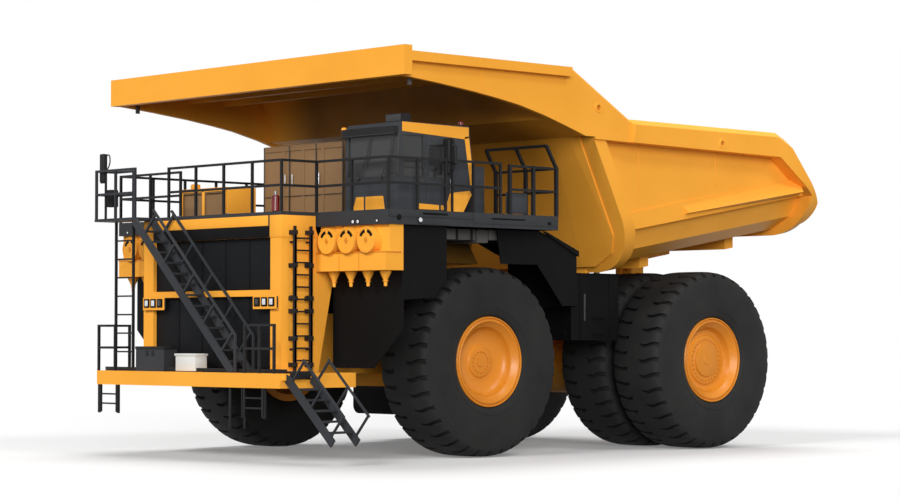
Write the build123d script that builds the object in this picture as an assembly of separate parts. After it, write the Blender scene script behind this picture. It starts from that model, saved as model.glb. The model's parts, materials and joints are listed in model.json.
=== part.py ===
from build123d import *
import math
import os

# Mining dump truck, in millimetres. The origin is on the ground under the middle of the whole truck.
# The front faces -Y, the cab side is +X, and +Z is up.

# Running gear
TYRE_RADIUS = 2020
TYRE_WIDTH = 1450
SHOULDER_WIDTH = 1390
SHOULDER_DEPTH = 175
TREAD_WIDTH = 1240
BEAD_WIDTH = 1060
LUG_COUNT = 36
LUG_SHARE = 0.68
GROOVE_DEPTH = 115
GROOVE_END_X = 140
RIM_SEAT_RADIUS = 860
RIM_FLANGE_RADIUS = 960
RIM_FLANGE_WIDTH = 70
RIM_SEAT_WIDTH = 1130
RIM_WALL = 60
FRONT_HUB_RECESS = 290
FRONT_HUB_LENGTH = 420
REAR_HUB_RECESS = 215
REAR_HUB_LENGTH = 440
HUB_COVER = 50
HUB_END_GAP = 10
BEAD_GAP = 0.3
FRONT_AXLE_Y = -2530
WHEELBASE = 6510
FRONT_WHEEL_X = 3325
REAR_INNER_X = 2300
REAR_OUTER_X = 3925
RUNNING_GAP = 0.05

# Steering
KINGPIN_X = 2150
KINGPIN_RADIUS = 130
KNUCKLE_RADIUS = 240
KNUCKLE_HEIGHT = 760
FRONT_SPINDLE_RADIUS = 260
AXLE_ARM_THICKNESS = 170
ARM_CLEARANCE = 10
AXLE_BEAM_HALF = 260
STEERING_ARM_REACH = 720
STEERING_ARM_HALF = 90
STEERING_ARM_THICKNESS = 100
TIE_ROD_RADIUS = 55
TIE_PIN_RADIUS = 40

# Rear axle
REAR_SPINDLE_RADIUS = 300
REAR_HOUSING_RADIUS = 620
REAR_BOX_RADIUS = 820
REAR_BOX_HALF = 1450
SPINDLE_LENGTH = 700
NOSE_REACH = 2050
NOSE_HALF = 350

# Main frame
RAIL_INNER_X = 600
RAIL_OUTER_X = 1100
FRAME_DROP = 270
FRAME_HEIGHT = 1300
ENGINE_GAP = 1730
ENGINE_REAR_Y = -2000
ENGINE_HEIGHT = 2550

# Suspension
FRONT_STRUT_X = 1440
FRONT_STRUT_RADIUS = 210
STRUT_ROD_RISE = 530
STRUT_TOP_RISE = 1300
REAR_STRUT_X = 850
REAR_STRUT_RADIUS = 150

# Bumper platform
BUMPER_FRONT_Y = -7610
BUMPER_HALF = 3130
BUMPER_HEIGHT = 299
PLATFORM_DROP = 204
BUMPER_DEPTH = 260
PLATFORM_PLATE = 60
PLATFORM_REAR_Y = -5580
PLATFORM_FLOOR_REAR_Y = -6300
PLATFORM_ARM_WIDTH = 230
PLATFORM_BOX_INSET = 180
PLATFORM_RAIL_HEIGHT = 1000
HANGING_LADDER_WIDTH = 700
HANGING_LADDER_HEIGHT = 617

# Deck
DECK_RISE = 3110
DECK_HEIGHT = 300
DECK_PLATE = 60
WING_HALF = 4580
WING_FRONT_Y = -5990
DECK_REAR_Y = -1090
CENTRE_DECK_HALF = 2350
DECK_RIB_PITCH = 1200

# Under the deck
LEG_WIDTH = 300
LEG_DEPTH = 300
LEG_FRONT_Y = -3900
REAR_LEG_Y = -1500
COOLER_BOX_FRONT_Y = -4600
COOLER_BOX_HEIGHT = 500
DUCT_FRONT_Y = -2700
DUCT_REAR_Y = -1520
DUCT_HEIGHT = 700
GUARD_PLATE = 40
MUD_PANEL_GAP = 90
MUD_PANEL_SLANT = 794
CURTAIN_GAP = 290
CURTAIN_INNER_X = 1950
CURTAIN_INSET = 530
CURTAIN_DROP = 380
CURTAIN_HEIGHT = 1250
STAY_WIDTH = 60

# Tanks beside the frame
TANK_WHEEL_GAP = 100
TANK_INNER_X = 1700
TANK_LENGTH = 1540
TANK_BRACKET_RISE = 480
TANK_BRACKET_HEIGHT = 300
HYDRAULIC_TANK_WIDTH = 1900
HYDRAULIC_TANK_RISE = 450
HYDRAULIC_TANK_HEIGHT = 1480
FUEL_TANK_WIDTH = 2000
FUEL_TANK_DROP = 1320
FUEL_TANK_HEIGHT = 2200
FUEL_TANK_EDGE = 200

# Air filters
FILTER_SIDE_GAP = 40
FILTER_FRONT_Y = -6020
FILTER_REAR_Y = -5530
FILTER_UPPER_HEIGHT = 560
FILTER_LOWER_HEIGHT = 370
CAP_COUNT = 3
CAP_RADIUS = 268
CAP_LENGTH = 200
CAP_HEIGHT = 250
CAP_HUB_RADIUS = 85
CAP_SLOTS = 6
CAP_SLOT_LENGTH = 140
CAP_SLOT_WIDTH = 60
CONE_COUNT = 4
CONE_RADIUS = 120
CONE_HEIGHT = 210
NOZZLE_RADIUS = 38
NOZZLE_LENGTH = 45

# Handrails
RAIL_HEIGHT = 1080
RAIL_BAR = 50
RAIL_INSET = 30
GUARD_RAIL_WIDTH = 1850
GUARD_RAIL_LENGTH = 1400
GUARD_KNEE = 1050
GUARD_TOP = 1500
GUARD_LEAN = 300

# Radiator frame
WALKWAY_DEPTH = 680
POST_WIDTH = 350
POST_DEPTH = 430
MID_BAR_RISE = 1574
MID_BAR_HEIGHT = 130
TOP_BAR_HEIGHT = 230
SCREEN_RECESS = 130
SLAT_PITCH = 120

# Boxes on the deck
CABINET_LOW_X = -1150
CABINET_WIDTH = 2650
CABINET_FRONT_Y = -4530
CABINET_DEPTH = 1430
CABINET_HEIGHT = 1610
CABINET_DOORS = 4
GRID_BOX_LOW_X = -2850
GRID_BOX_WIDTH = 1600
GRID_BOX_FRONT_Y = -5530
GRID_BOX_DEPTH = 830
GRID_BOX_HEIGHT = 690

# Cab
CAB_EDGE_GAP = 320
CAB_WIDTH = 1640
CAB_FRONT_Y = -5430
CAB_LENGTH = 1990
CAB_HEIGHT = 1820
CAB_WAIST = 570
CAB_WALL = 60
WINDOW_SILL_RISE = 720
WINDOW_HEIGHT = 830
PANE = 16
DOOR_REAR_Y = -3600
DOOR_WIDTH = 850
DOOR_GAP = 8
DOOR_SILL_RISE = 200
DOOR_HEIGHT = 1470
DOOR_HINGE_RADIUS = 22
DOOR_PIN_RADIUS = 9
DOOR_HINGE_OUT = 27
DOOR_HINGE_BACK = 30
DOOR_FRAME = 100
SEAT_BACK = 930
SEAT_HEIGHT = 400
DASH_HEIGHT = 560
STEERING_WHEEL_RADIUS = 210

# Dump body; rises are measured from the start of the floor, insets from the widest part
BODY_HALF = 5000
TAIL_Y = 7610
LIP_FRONT_Y = -5930
LIP_DEPTH = 210
LIP_DROP = 490
LIP_RISE = 110
CANOPY_RISE = 4380
CANOPY_REAR_Y = -880
CANOPY_THICKNESS = 90
CANOPY_RIB_DEPTH = 310
CANOPY_RIB_PITCH = 1050
FLANGE_DROP = 200
WEB_INSET = 150
WEB_THICKNESS = 110
RAIL_FACE_INSET = 100
RAIL_RISE = 3370
RAIL_DEPTH = 460
RAIL_BEVEL = 110
RAIL_JOINT_Y = 950
SHELL_INSET = 600
SHELL_WALL = 110
CORNER_RADIUS = 1150
FOLD_HEIGHT = 700
FOLD_MIDDLE_HEIGHT = 290
FOLD_MIDDLE_DEPTH = 220
FOLD_DEPTH = 800
FLOOR_RISE = 1910
FLOOR_SLOPE = 0.165
SEAM_HEIGHT = 760
SIDE_FACE_INSET = 450
HOOP_FACE_INSET = 200
WALL_FOOT_Y = 1090
WALL_SLOPE = 0.515
WALL_THICKNESS = 110
WALL_FOLD_DEPTH = 90
TAIL_KNEE_RISE = 1730
HOOP_WIDTH = 480
HOOP_DROP = 150
LEDGE_WIDTH = 280
BOLSTER_FRONT_Y = 1210
BOLSTER_CROSS_HALF = 3200
BOLSTER_OUTER_X = 1100
BOLSTER_INNER_X = 700
BOLSTER_DEPTH = 420
BOLSTER_TAIL_GAP = 1210
LIFT_HOLE_RADIUS = 60
FAR = 4000

# Body pivot and hoist
PIVOT_Y = 5170
PIVOT_RISE = 1980
PIVOT_PIN_RADIUS = 110
PIVOT_EAR_RADIUS = 210
EAR_SIDE_GAP = 10
HOIST_X = 1400
HOIST_FOOT_Y = 1000
HOIST_FOOT_DROP = 720
HOIST_HEAD_Y = 2300
HOIST_HEAD_RISE = 2030
HOIST_PIN_RADIUS = 90
BARREL_RADIUS = 170
ROD_RADIUS = 120
BARREL_LENGTH = 2560
HOIST_EYE_RADIUS = 120
HOIST_EYE_WIDTH = 120
HOIST_EAR_RADIUS = 150
HOIST_EAR_PLATE = 60
HOIST_HEAD_PIN_RADIUS = 70

# Head lamps
LAMP_CLUSTER_WIDTH = 700
LAMP_CLUSTER_HEIGHT = 230
LAMP_CLUSTER_INSET = 100
LAMP_COUNT = 3
LAMP_RADIUS = 78
LAMP_DEPTH = 40

# Stairway in front of the radiator
STAIRWAY_TOP_X = -1950
STAIRWAY_FOOT_X = 1450
STAIRWAY_INSET = 130
STAIRWAY_WIDTH = 480
LANDING_END_X = -3400
LADDER_WIDTH = 430
STAIR_RAIL_RISE = 620

# Boarding stair
STAIR_HINGE_X = 3190
STAIR_HINGE_DROP = 76
STAIR_WIDTH = 650
STAIR_FOOT_X = 4620
STAIR_FOOT_Z = 450
STAIR_PIN_RADIUS = 25
STRINGER = 40

FRAME_FRONT_Y = BUMPER_FRONT_Y + BUMPER_DEPTH
PLATFORM_BOX_Y = BUMPER_FRONT_Y + PLATFORM_BOX_INSET
STAIRWAY_FRONT_Y = BUMPER_FRONT_Y + STAIRWAY_INSET
STAIR_FRONT_Y = STAIRWAY_FRONT_Y
GRILLE_FRONT_Y = BUMPER_FRONT_Y + WALKWAY_DEPTH
CENTRE_DECK_FRONT_Y = GRILLE_FRONT_Y
ENGINE_FRONT_Y = GRILLE_FRONT_Y + ENGINE_GAP
MUD_PANEL_Y = FILTER_REAR_Y
AXLE_Z = TYRE_RADIUS
RAIL_BOTTOM_Z = AXLE_Z - FRAME_DROP
RAIL_TOP_Z = RAIL_BOTTOM_Z + FRAME_HEIGHT
STRUT_ROD_TOP_Z = AXLE_Z + STRUT_ROD_RISE
STRUT_TOP_Z = AXLE_Z + STRUT_TOP_RISE
ENGINE_TOP_Z = RAIL_BOTTOM_Z + 150 + ENGINE_HEIGHT
PLATFORM_TOP_Z = AXLE_Z - PLATFORM_DROP
BUMPER_BOTTOM_Z = PLATFORM_TOP_Z - BUMPER_HEIGHT
HANGING_LADDER_Z = BUMPER_BOTTOM_Z - HANGING_LADDER_HEIGHT
STAIR_HINGE_Z = PLATFORM_TOP_Z - STAIR_HINGE_DROP
MID_BAR_Z = PLATFORM_TOP_Z + MID_BAR_RISE
DECK_TOP_Z = AXLE_Z + DECK_RISE
DECK_BOTTOM_Z = DECK_TOP_Z - DECK_HEIGHT
FILTER_STEP_Z = DECK_BOTTOM_Z - FILTER_UPPER_HEIGHT
CAB_ROOF_Z = DECK_TOP_Z + CAB_HEIGHT
WINDOW_SILL_Z = DECK_TOP_Z + WINDOW_SILL_RISE
WINDOW_HEAD_Z = WINDOW_SILL_Z + WINDOW_HEIGHT
DOOR_BOTTOM_Z = DECK_TOP_Z + DOOR_SILL_RISE
DOOR_TOP_Z = DOOR_BOTTOM_Z + DOOR_HEIGHT
FLOOR_START_Z = AXLE_Z + FLOOR_RISE
PIVOT_Z = AXLE_Z + PIVOT_RISE
HOIST_FOOT_Z = AXLE_Z - HOIST_FOOT_DROP
HOIST_HEAD_Z = AXLE_Z + HOIST_HEAD_RISE
TANK_BRACKET_Z = AXLE_Z + TANK_BRACKET_RISE
HYDRAULIC_TANK_Z = AXLE_Z + HYDRAULIC_TANK_RISE
FUEL_TANK_Z = AXLE_Z - FUEL_TANK_DROP
CURTAIN_OUTER_X = WING_HALF - CURTAIN_INSET
RIM_HALF = RIM_SEAT_WIDTH / 2 + RIM_FLANGE_WIDTH
BOX_INNER_X = RAIL_OUTER_X + 250
MUD_PANEL_OUTER_X = WING_HALF - 80
MUD_PANEL_FOOT_X = MUD_PANEL_OUTER_X - 900
FILTER_OUTER_X = WING_HALF - 50
CAP_FIRST_X = CENTRE_DECK_HALF + FILTER_SIDE_GAP + 410
CAP_PITCH = (FILTER_OUTER_X - 510 - CAP_FIRST_X) / (CAP_COUNT - 1)
CONE_FIRST_X = CAP_FIRST_X - 100
CONE_PITCH = (FILTER_OUTER_X - 240 - CONE_FIRST_X) / (CONE_COUNT - 1)
CAB_INNER_X = WING_HALF - CAB_EDGE_GAP - CAB_WIDTH
REAR_SEAT_Z = AXLE_Z + REAR_BOX_RADIUS + 20
REAR_AXLE_Y = FRONT_AXLE_Y + WHEELBASE
TANK_FRONT_Y = REAR_AXLE_Y - TYRE_RADIUS - TANK_WHEEL_GAP - TANK_LENGTH
CURTAIN_Y = TANK_FRONT_Y - CURTAIN_GAP - GUARD_PLATE
CANOPY_TOP_Z = FLOOR_START_Z + CANOPY_RISE
LIP_BOTTOM_Z = CANOPY_TOP_Z - LIP_DROP
LIP_TOP_Z = CANOPY_TOP_Z + LIP_RISE
RAIL_TOP_EDGE_Z = FLOOR_START_Z + RAIL_RISE
RAIL_LOW_EDGE_Z = RAIL_TOP_EDGE_Z - RAIL_DEPTH
TAIL_KNEE_Z = FLOOR_START_Z + TAIL_KNEE_RISE
BODY_LOW_Z = FLOOR_START_Z - 930
WEB_OUTER_X = BODY_HALF - WEB_INSET
RAIL_FACE_X = BODY_HALF - RAIL_FACE_INSET
HOOP_FACE_X = BODY_HALF - HOOP_FACE_INSET
SIDE_FACE_X = BODY_HALF - SIDE_FACE_INSET
SHELL_HALF = BODY_HALF - SHELL_INSET
FLOOR_COS = 1 / math.hypot(1, FLOOR_SLOPE)


def block(x_low, x_high, y_low, y_high, z_low, z_high):
    size = Box(x_high - x_low, y_high - y_low, z_high - z_low)
    return Pos((x_low + x_high) / 2, (y_low + y_high) / 2, (z_low + z_high) / 2) * size


def side_plate(outline, x_low, x_high):
    """A plate with its outline given as (y, z) corners, between two x places."""
    face = make_face(Polyline(*outline, close=True))
    return Pos(x_low, 0, 0) * extrude(Plane.YZ * face, amount=x_high - x_low)


def front_plate(outline, y_low, y_high):
    """A plate with its outline given as (x, z) corners, between two y places."""
    face = make_face(Polyline(*outline, close=True))
    return Pos(0, y_high, 0) * extrude(Plane.XZ * face, amount=y_high - y_low)


def axis_plane(start, end):
    along = Vector(*end) - Vector(*start)
    level = along.cross(Vector(0, 0, 1))
    across = level if level.length > 1 else Vector(1, 0, 0)
    return Plane(origin=start, x_dir=across, z_dir=along), along.length


def bar(start, end, width, depth=None):
    """A rectangular bar between two points; width is level and depth is square to it."""
    plane, length = axis_plane(start, end)
    return extrude(plane * Rectangle(width, depth or width), amount=length)


def round_bar(start, end, radius):
    plane, length = axis_plane(start, end)
    return extrude(plane * Circle(radius), amount=length)


def upright(x, y, z_low, z_high, radius):
    return round_bar((x, y, z_low), (x, y, z_high), radius)


def round_x(x_low, x_high, y, z, radius):
    return round_bar((x_low, y, z), (x_high, y, z), radius)


def other_side(shape):
    return mirror(shape, about=Plane.YZ)


def joined(pieces):
    return Part() + pieces


def faceted(faces):
    """A solid sewn from flat faces, each given by its corners."""
    shell = Shell([Face(Wire.make_polygon(corners, close=True)) for corners in faces])
    solid = Solid(shell)
    return solid if solid.volume > 0 else -solid


def wedge(near, far):
    """A solid between two triangles, each given by three corners."""
    a, b, c = near
    d, e, f = far
    return faceted([[a, b, c], [d, e, f], [a, b, e], [a, e, d], [b, c, f], [b, f, e], [c, a, d], [c, d, f]])


def save(name, *pieces):
    """Writes the pieces of one node; pieces in one node don't touch."""
    solids = [solid for piece in pieces for solid in piece.solids()]
    shape = solids[0] if len(solids) == 1 else Compound(children=solids)
    export_step(shape, f"parts/{name}.step")


def turned_profile(outline, y, z):
    """Turns an outline of (x, radius) points about the wheel line at y and z."""
    face = make_face(outline)
    return Pos(0, y, z) * revolve(Plane.XZ * face, axis=Axis.X)


# Wheels

def wheel_point(x, radius, turn):
    """A point about the wheel line; a turn of one is one lug pitch, and zero is the lowest point."""
    angle = math.tau * turn / LUG_COUNT
    return (x, radius * math.sin(angle), -radius * math.cos(angle))


def tyre_half(side):
    """The faces of one half of a tyre: lugs with grooves between them, shoulder, side wall and bead."""
    pitch = math.tau / LUG_COUNT
    flat = TYRE_RADIUS * math.cos(pitch / 2)
    lug_radius = flat / math.cos(pitch * LUG_SHARE / 2)
    bead_radius = (RIM_SEAT_RADIUS + BEAD_GAP) / math.cos(pitch)
    middle_radius = (RIM_FLANGE_RADIUS + TYRE_RADIUS) / 2
    shift = 0 if side == 1 else 0.5

    def corner(width, radius, turn):
        return wheel_point(side * width / 2, radius, turn)

    faces = []
    for lug in range(LUG_COUNT):
        turn = lug + shift
        before = turn - 0.5
        after = turn + 0.5
        start = corner(TREAD_WIDTH, lug_radius, turn - LUG_SHARE / 2)
        end = corner(TREAD_WIDTH, lug_radius, turn + LUG_SHARE / 2)
        next_start = corner(TREAD_WIDTH, lug_radius, turn + 1 - LUG_SHARE / 2)
        groove_end = corner(2 * GROOVE_END_X, TYRE_RADIUS, after)
        low_before = corner(TREAD_WIDTH, TYRE_RADIUS - GROOVE_DEPTH, before)
        low_after = corner(TREAD_WIDTH, TYRE_RADIUS - GROOVE_DEPTH, after)
        shoulder_before = corner(SHOULDER_WIDTH, TYRE_RADIUS - SHOULDER_DEPTH, before)
        shoulder_after = corner(SHOULDER_WIDTH, TYRE_RADIUS - SHOULDER_DEPTH, after)
        wall_before = corner(TYRE_WIDTH, middle_radius, before)
        wall_after = corner(TYRE_WIDTH, middle_radius, after)
        faces += [
            [start, end, groove_end, corner(2 * GROOVE_END_X, TYRE_RADIUS, before)],
            [end, low_after, groove_end],
            [low_after, next_start, groove_end],
            [shoulder_before, low_before, start],
            [shoulder_before, start, end, shoulder_after],
            [shoulder_after, end, low_after],
            [shoulder_before, shoulder_after, wall_after, wall_before],
        ]
        if lug % 2 == 0:
            bead_before = corner(BEAD_WIDTH, bead_radius, before)
            bead_after = corner(BEAD_WIDTH, bead_radius, before + 2)
            faces += [
                [bead_before, wall_before, wall_after],
                [bead_before, wall_after, bead_after],
                [bead_after, wall_after, corner(TYRE_WIDTH, middle_radius, before + 2)],
            ]
    return faces


def tyre():
    """A tyre with staggered lugs, about the origin."""
    faces = tyre_half(1) + tyre_half(-1)
    bead_radius = (RIM_SEAT_RADIUS + BEAD_GAP) / math.cos(math.tau / LUG_COUNT)
    # Columns: half width, radius, step between corners in lug pitches
    for half, radius, step in ((GROOVE_END_X, TYRE_RADIUS, 1), (BEAD_WIDTH / 2, bead_radius, 2)):
        for count in range(LUG_COUNT // step):
            near = count * step - 0.5
            far = count * step
            near_corner = wheel_point(half, radius, near)
            far_corner = wheel_point(-half, radius, far)
            next_near = wheel_point(half, radius, near + step)
            faces.append([near_corner, next_near, far_corner])
            faces.append([far_corner, wheel_point(-half, radius, far + step), next_near])
    return faceted(faces)


def rim_outline(centre_x):
    """The rim's seat and flanges as (x, radius) points, from the inner end to the outer."""
    half = RIM_SEAT_WIDTH / 2
    return [
        (centre_x - half - RIM_FLANGE_WIDTH, RIM_FLANGE_RADIUS),
        (centre_x - half, RIM_FLANGE_RADIUS),
        (centre_x - half, RIM_SEAT_RADIUS),
        (centre_x + half, RIM_SEAT_RADIUS),
        (centre_x + half, RIM_FLANGE_RADIUS),
        (centre_x + half + RIM_FLANGE_WIDTH, RIM_FLANGE_RADIUS),
    ]


def front_rim():
    hub_bore = FRONT_SPINDLE_RADIUS + RUNNING_GAP
    outer_x = FRONT_WHEEL_X + RIM_HALF
    inside = RIM_SEAT_RADIUS - RIM_WALL
    hub_face = outer_x - FRONT_HUB_RECESS
    outline = rim_outline(FRONT_WHEEL_X) + [
        (outer_x, inside + 20),
        (outer_x - 110, inside - 30),
        (hub_face - 40, inside - 160),
        (hub_face - 40, FRONT_SPINDLE_RADIUS + 160),
        (hub_face, FRONT_SPINDLE_RADIUS + 70),
        (hub_face, 0),
        (hub_face - HUB_COVER, 0),
        (hub_face - HUB_COVER, hub_bore),
        (hub_face - FRONT_HUB_LENGTH, hub_bore),
        (hub_face - FRONT_HUB_LENGTH, FRONT_SPINDLE_RADIUS + 140),
        (hub_face - 160, inside - 200),
        (outer_x - 260, inside),
        (FRONT_WHEEL_X - RIM_HALF, inside),
    ]
    return turned_profile(Polyline(*outline, close=True), FRONT_AXLE_Y, AXLE_Z)


def rear_rims():
    hub_bore = REAR_SPINDLE_RADIUS + RUNNING_GAP
    outer_x = REAR_OUTER_X + RIM_HALF
    inside = RIM_SEAT_RADIUS - RIM_WALL
    hub_face = outer_x - REAR_HUB_RECESS
    spacer = [
        (REAR_INNER_X + RIM_HALF, RIM_SEAT_RADIUS),
        (REAR_OUTER_X - RIM_HALF, RIM_SEAT_RADIUS),
    ]
    outline = rim_outline(REAR_INNER_X) + spacer + rim_outline(REAR_OUTER_X) + [
        (outer_x, inside + 20),
        (outer_x - 110, inside - 30),
        (hub_face - 40, inside - 120),
        (hub_face - 40, inside - 210),
        (hub_face, inside - 250),
        (hub_face, REAR_SPINDLE_RADIUS + 90),
        (hub_face + 40, REAR_SPINDLE_RADIUS + 70),
        (hub_face + 40, 0),
        (hub_face - HUB_COVER, 0),
        (hub_face - HUB_COVER, hub_bore),
        (hub_face - REAR_HUB_LENGTH, hub_bore),
        (hub_face - REAR_HUB_LENGTH, REAR_SPINDLE_RADIUS + 120),
        (hub_face - 160, inside - 160),
        (outer_x - 240, inside),
        (REAR_INNER_X - RIM_HALF, inside),
    ]
    return turned_profile(Polyline(*outline, close=True), REAR_AXLE_Y, AXLE_Z)


# Steering and axles

def knuckle():
    low = AXLE_Z - KNUCKLE_HEIGHT / 2
    high = AXLE_Z + KNUCKLE_HEIGHT / 2
    reach = AXLE_ARM_THICKNESS + ARM_CLEARANCE
    spindle_end = FRONT_WHEEL_X + RIM_HALF - FRONT_HUB_RECESS - HUB_COVER - HUB_END_GAP
    post = upright(KINGPIN_X, FRONT_AXLE_Y, low, high, KNUCKLE_RADIUS)
    pin = upright(KINGPIN_X, FRONT_AXLE_Y, low - reach, high + reach, KINGPIN_RADIUS)
    flange = round_x(KINGPIN_X + 60, KINGPIN_X + 400, FRONT_AXLE_Y, AXLE_Z, FRONT_SPINDLE_RADIUS + 110)
    spindle = round_x(KINGPIN_X, spindle_end, FRONT_AXLE_Y, AXLE_Z, FRONT_SPINDLE_RADIUS)
    arm_end = FRONT_AXLE_Y + STEERING_ARM_REACH
    half = STEERING_ARM_HALF
    arm_low = low + 20
    arm_high = arm_low + STEERING_ARM_THICKNESS
    arm = block(KINGPIN_X - half, KINGPIN_X + half, FRONT_AXLE_Y, arm_end, arm_low, arm_high)
    arm_tip = upright(KINGPIN_X, arm_end, arm_low, arm_high, half)
    tie_pin = upright(KINGPIN_X, arm_end, low - 120, arm_low, TIE_PIN_RADIUS)
    return joined([post, pin, flange, spindle, arm, arm_tip, tie_pin])


def tie_rod():
    low = AXLE_Z - KNUCKLE_HEIGHT / 2
    arm_end = FRONT_AXLE_Y + STEERING_ARM_REACH
    middle = low - TIE_ROD_RADIUS
    half = TIE_ROD_RADIUS + 5
    pieces = [round_x(-KINGPIN_X, KINGPIN_X, arm_end, middle, TIE_ROD_RADIUS)]
    bores = []
    for x in (-KINGPIN_X, KINGPIN_X):
        pieces.append(upright(x, arm_end, middle - half, middle + half, STEERING_ARM_HALF + 5))
        bores.append(upright(x, arm_end, middle - 100, middle + 100, TIE_PIN_RADIUS + RUNNING_GAP))
    return joined(pieces) - bores


def front_axle_beam():
    low = AXLE_Z - KNUCKLE_HEIGHT / 2 - ARM_CLEARANCE
    high = AXLE_Z + KNUCKLE_HEIGHT / 2 + ARM_CLEARANCE
    foot = low - AXLE_ARM_THICKNESS
    back_x = KINGPIN_X - KNUCKLE_RADIUS - 60
    tip_x = KINGPIN_X + KINGPIN_RADIUS + 90
    y_low = FRONT_AXLE_Y - AXLE_BEAM_HALF
    y_high = FRONT_AXLE_Y + AXLE_BEAM_HALF
    left = [
        block(back_x - 200, back_x, y_low, y_high, foot, high + AXLE_ARM_THICKNESS),
        block(back_x, tip_x, y_low, y_high, foot, low),
        block(back_x, tip_x, y_low, y_high, high, high + AXLE_ARM_THICKNESS),
    ]
    beam = block(-back_x, back_x, y_low, y_high, foot, RAIL_BOTTOM_Z)
    whole = joined([beam] + left + [other_side(piece) for piece in left])
    for x in (-KINGPIN_X, KINGPIN_X):
        whole = whole - upright(x, FRONT_AXLE_Y, foot - 100, high + 1000, KINGPIN_RADIUS + RUNNING_GAP)
    return whole


def rear_axle_housing():
    end = REAR_OUTER_X + RIM_HALF - REAR_HUB_RECESS - HUB_COVER - HUB_END_GAP
    box = round_x(-REAR_BOX_HALF, REAR_BOX_HALF, REAR_AXLE_Y, AXLE_Z, REAR_BOX_RADIUS)
    tube_end = end - SPINDLE_LENGTH
    tube = round_x(-tube_end, tube_end, REAR_AXLE_Y, AXLE_Z, REAR_HOUSING_RADIUS)
    spindle = round_x(-end, end, REAR_AXLE_Y, AXLE_Z, REAR_SPINDLE_RADIUS)
    nose_y = REAR_AXLE_Y - NOSE_REACH
    nose_outline = [
        (REAR_AXLE_Y, AXLE_Z - 300),
        (nose_y, AXLE_Z - 100),
        (nose_y, AXLE_Z + 450),
        (REAR_AXLE_Y, AXLE_Z + 300),
    ]
    nose = side_plate(nose_outline, -NOSE_HALF, NOSE_HALF)
    half = REAR_STRUT_RADIUS + 10
    strut_low_y = REAR_AXLE_Y - half
    strut_high_y = REAR_AXLE_Y + half
    seat = block(REAR_STRUT_X - half, REAR_STRUT_X + half, strut_low_y, strut_high_y, AXLE_Z, REAR_SEAT_Z)
    return joined([box, tube, spindle, nose, seat, other_side(seat)])


# Main frame

RAIL_REAR_Y = PIVOT_Y + 350
REAR_RAIL_BOTTOM_Z = AXLE_Z + REAR_BOX_RADIUS + 210
REAR_RAIL_TOP_Z = PIVOT_Z - 330


def frame_rail():
    outline = [
        (FRAME_FRONT_Y, BUMPER_BOTTOM_Z),
        (FRAME_FRONT_Y + 1050, BUMPER_BOTTOM_Z),
        (FRAME_FRONT_Y + 1950, RAIL_BOTTOM_Z),
        (REAR_AXLE_Y - 2580, RAIL_BOTTOM_Z),
        (REAR_AXLE_Y - 1350, REAR_RAIL_BOTTOM_Z),
        (RAIL_REAR_Y, REAR_RAIL_BOTTOM_Z),
        (RAIL_REAR_Y, REAR_RAIL_TOP_Z),
        (REAR_AXLE_Y - 1780, REAR_RAIL_TOP_Z - 220),
        (REAR_AXLE_Y - 2780, RAIL_TOP_Z),
        (FRAME_FRONT_Y + 1750, RAIL_TOP_Z),
        (FRAME_FRONT_Y + 1100, PLATFORM_TOP_Z - PLATFORM_PLATE),
        (FRAME_FRONT_Y, PLATFORM_TOP_Z - PLATFORM_PLATE),
    ]
    return side_plate(outline, RAIL_INNER_X, RAIL_OUTER_X)


def frame_pivot(side_x):
    ear = round_x(side_x - 90, side_x + 90, PIVOT_Y, PIVOT_Z, PIVOT_EAR_RADIUS)
    foot = block(side_x - 90, side_x + 90, PIVOT_Y - 260, PIVOT_Y + 260, REAR_RAIL_TOP_Z - 20, PIVOT_Z - 60)
    pin = round_x(side_x - 200, side_x + 200, PIVOT_Y, PIVOT_Z, PIVOT_PIN_RADIUS)
    return [ear, foot, pin]


def body_pad(side_x):
    """A rest pad whose top follows the bolster above it."""
    low_y = BOLSTER_FRONT_Y + 50
    high_y = low_y + 800
    outline = [
        (low_y, RAIL_TOP_Z - 20),
        (high_y, RAIL_TOP_Z - 20),
        (high_y, bolster_bottom(high_y)),
        (low_y, bolster_bottom(low_y)),
    ]
    return side_plate(outline, side_x - 150, side_x + 150)


def hoist_foot():
    """Bracket, boss and pin at the foot of the left hoist cylinder."""
    boss_x = HOIST_X - HOIST_EYE_WIDTH / 2 - EAR_SIDE_GAP
    low_y = HOIST_FOOT_Y - 170
    high_y = HOIST_FOOT_Y + 170
    low_z = HOIST_FOOT_Z - 170
    plate = block(RAIL_OUTER_X - 20, RAIL_OUTER_X + 90, low_y, high_y, low_z, RAIL_BOTTOM_Z + 400)
    boss = round_x(RAIL_OUTER_X + 80, boss_x, HOIST_FOOT_Y, HOIST_FOOT_Z, HOIST_PIN_RADIUS + 60)
    pin = round_x(boss_x - 10, HOIST_X + 100, HOIST_FOOT_Y, HOIST_FOOT_Z, HOIST_PIN_RADIUS)
    return [plate, boss, pin]


def strut_tower():
    """Bracket on the left rail that the front strut hangs from."""
    low_y = FRONT_AXLE_Y - FRONT_STRUT_RADIUS - 10
    high_y = FRONT_AXLE_Y + FRONT_STRUT_RADIUS + 10
    rail_x = RAIL_OUTER_X - 20
    cap_x = FRONT_STRUT_X + FRONT_STRUT_RADIUS + 50
    cap = block(rail_x, cap_x, low_y, high_y, STRUT_TOP_Z, STRUT_TOP_Z + 100)
    cheek = block(rail_x, RAIL_OUTER_X + 60, low_y, high_y, RAIL_TOP_Z - 350, STRUT_TOP_Z)
    return [cap, cheek]


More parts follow.
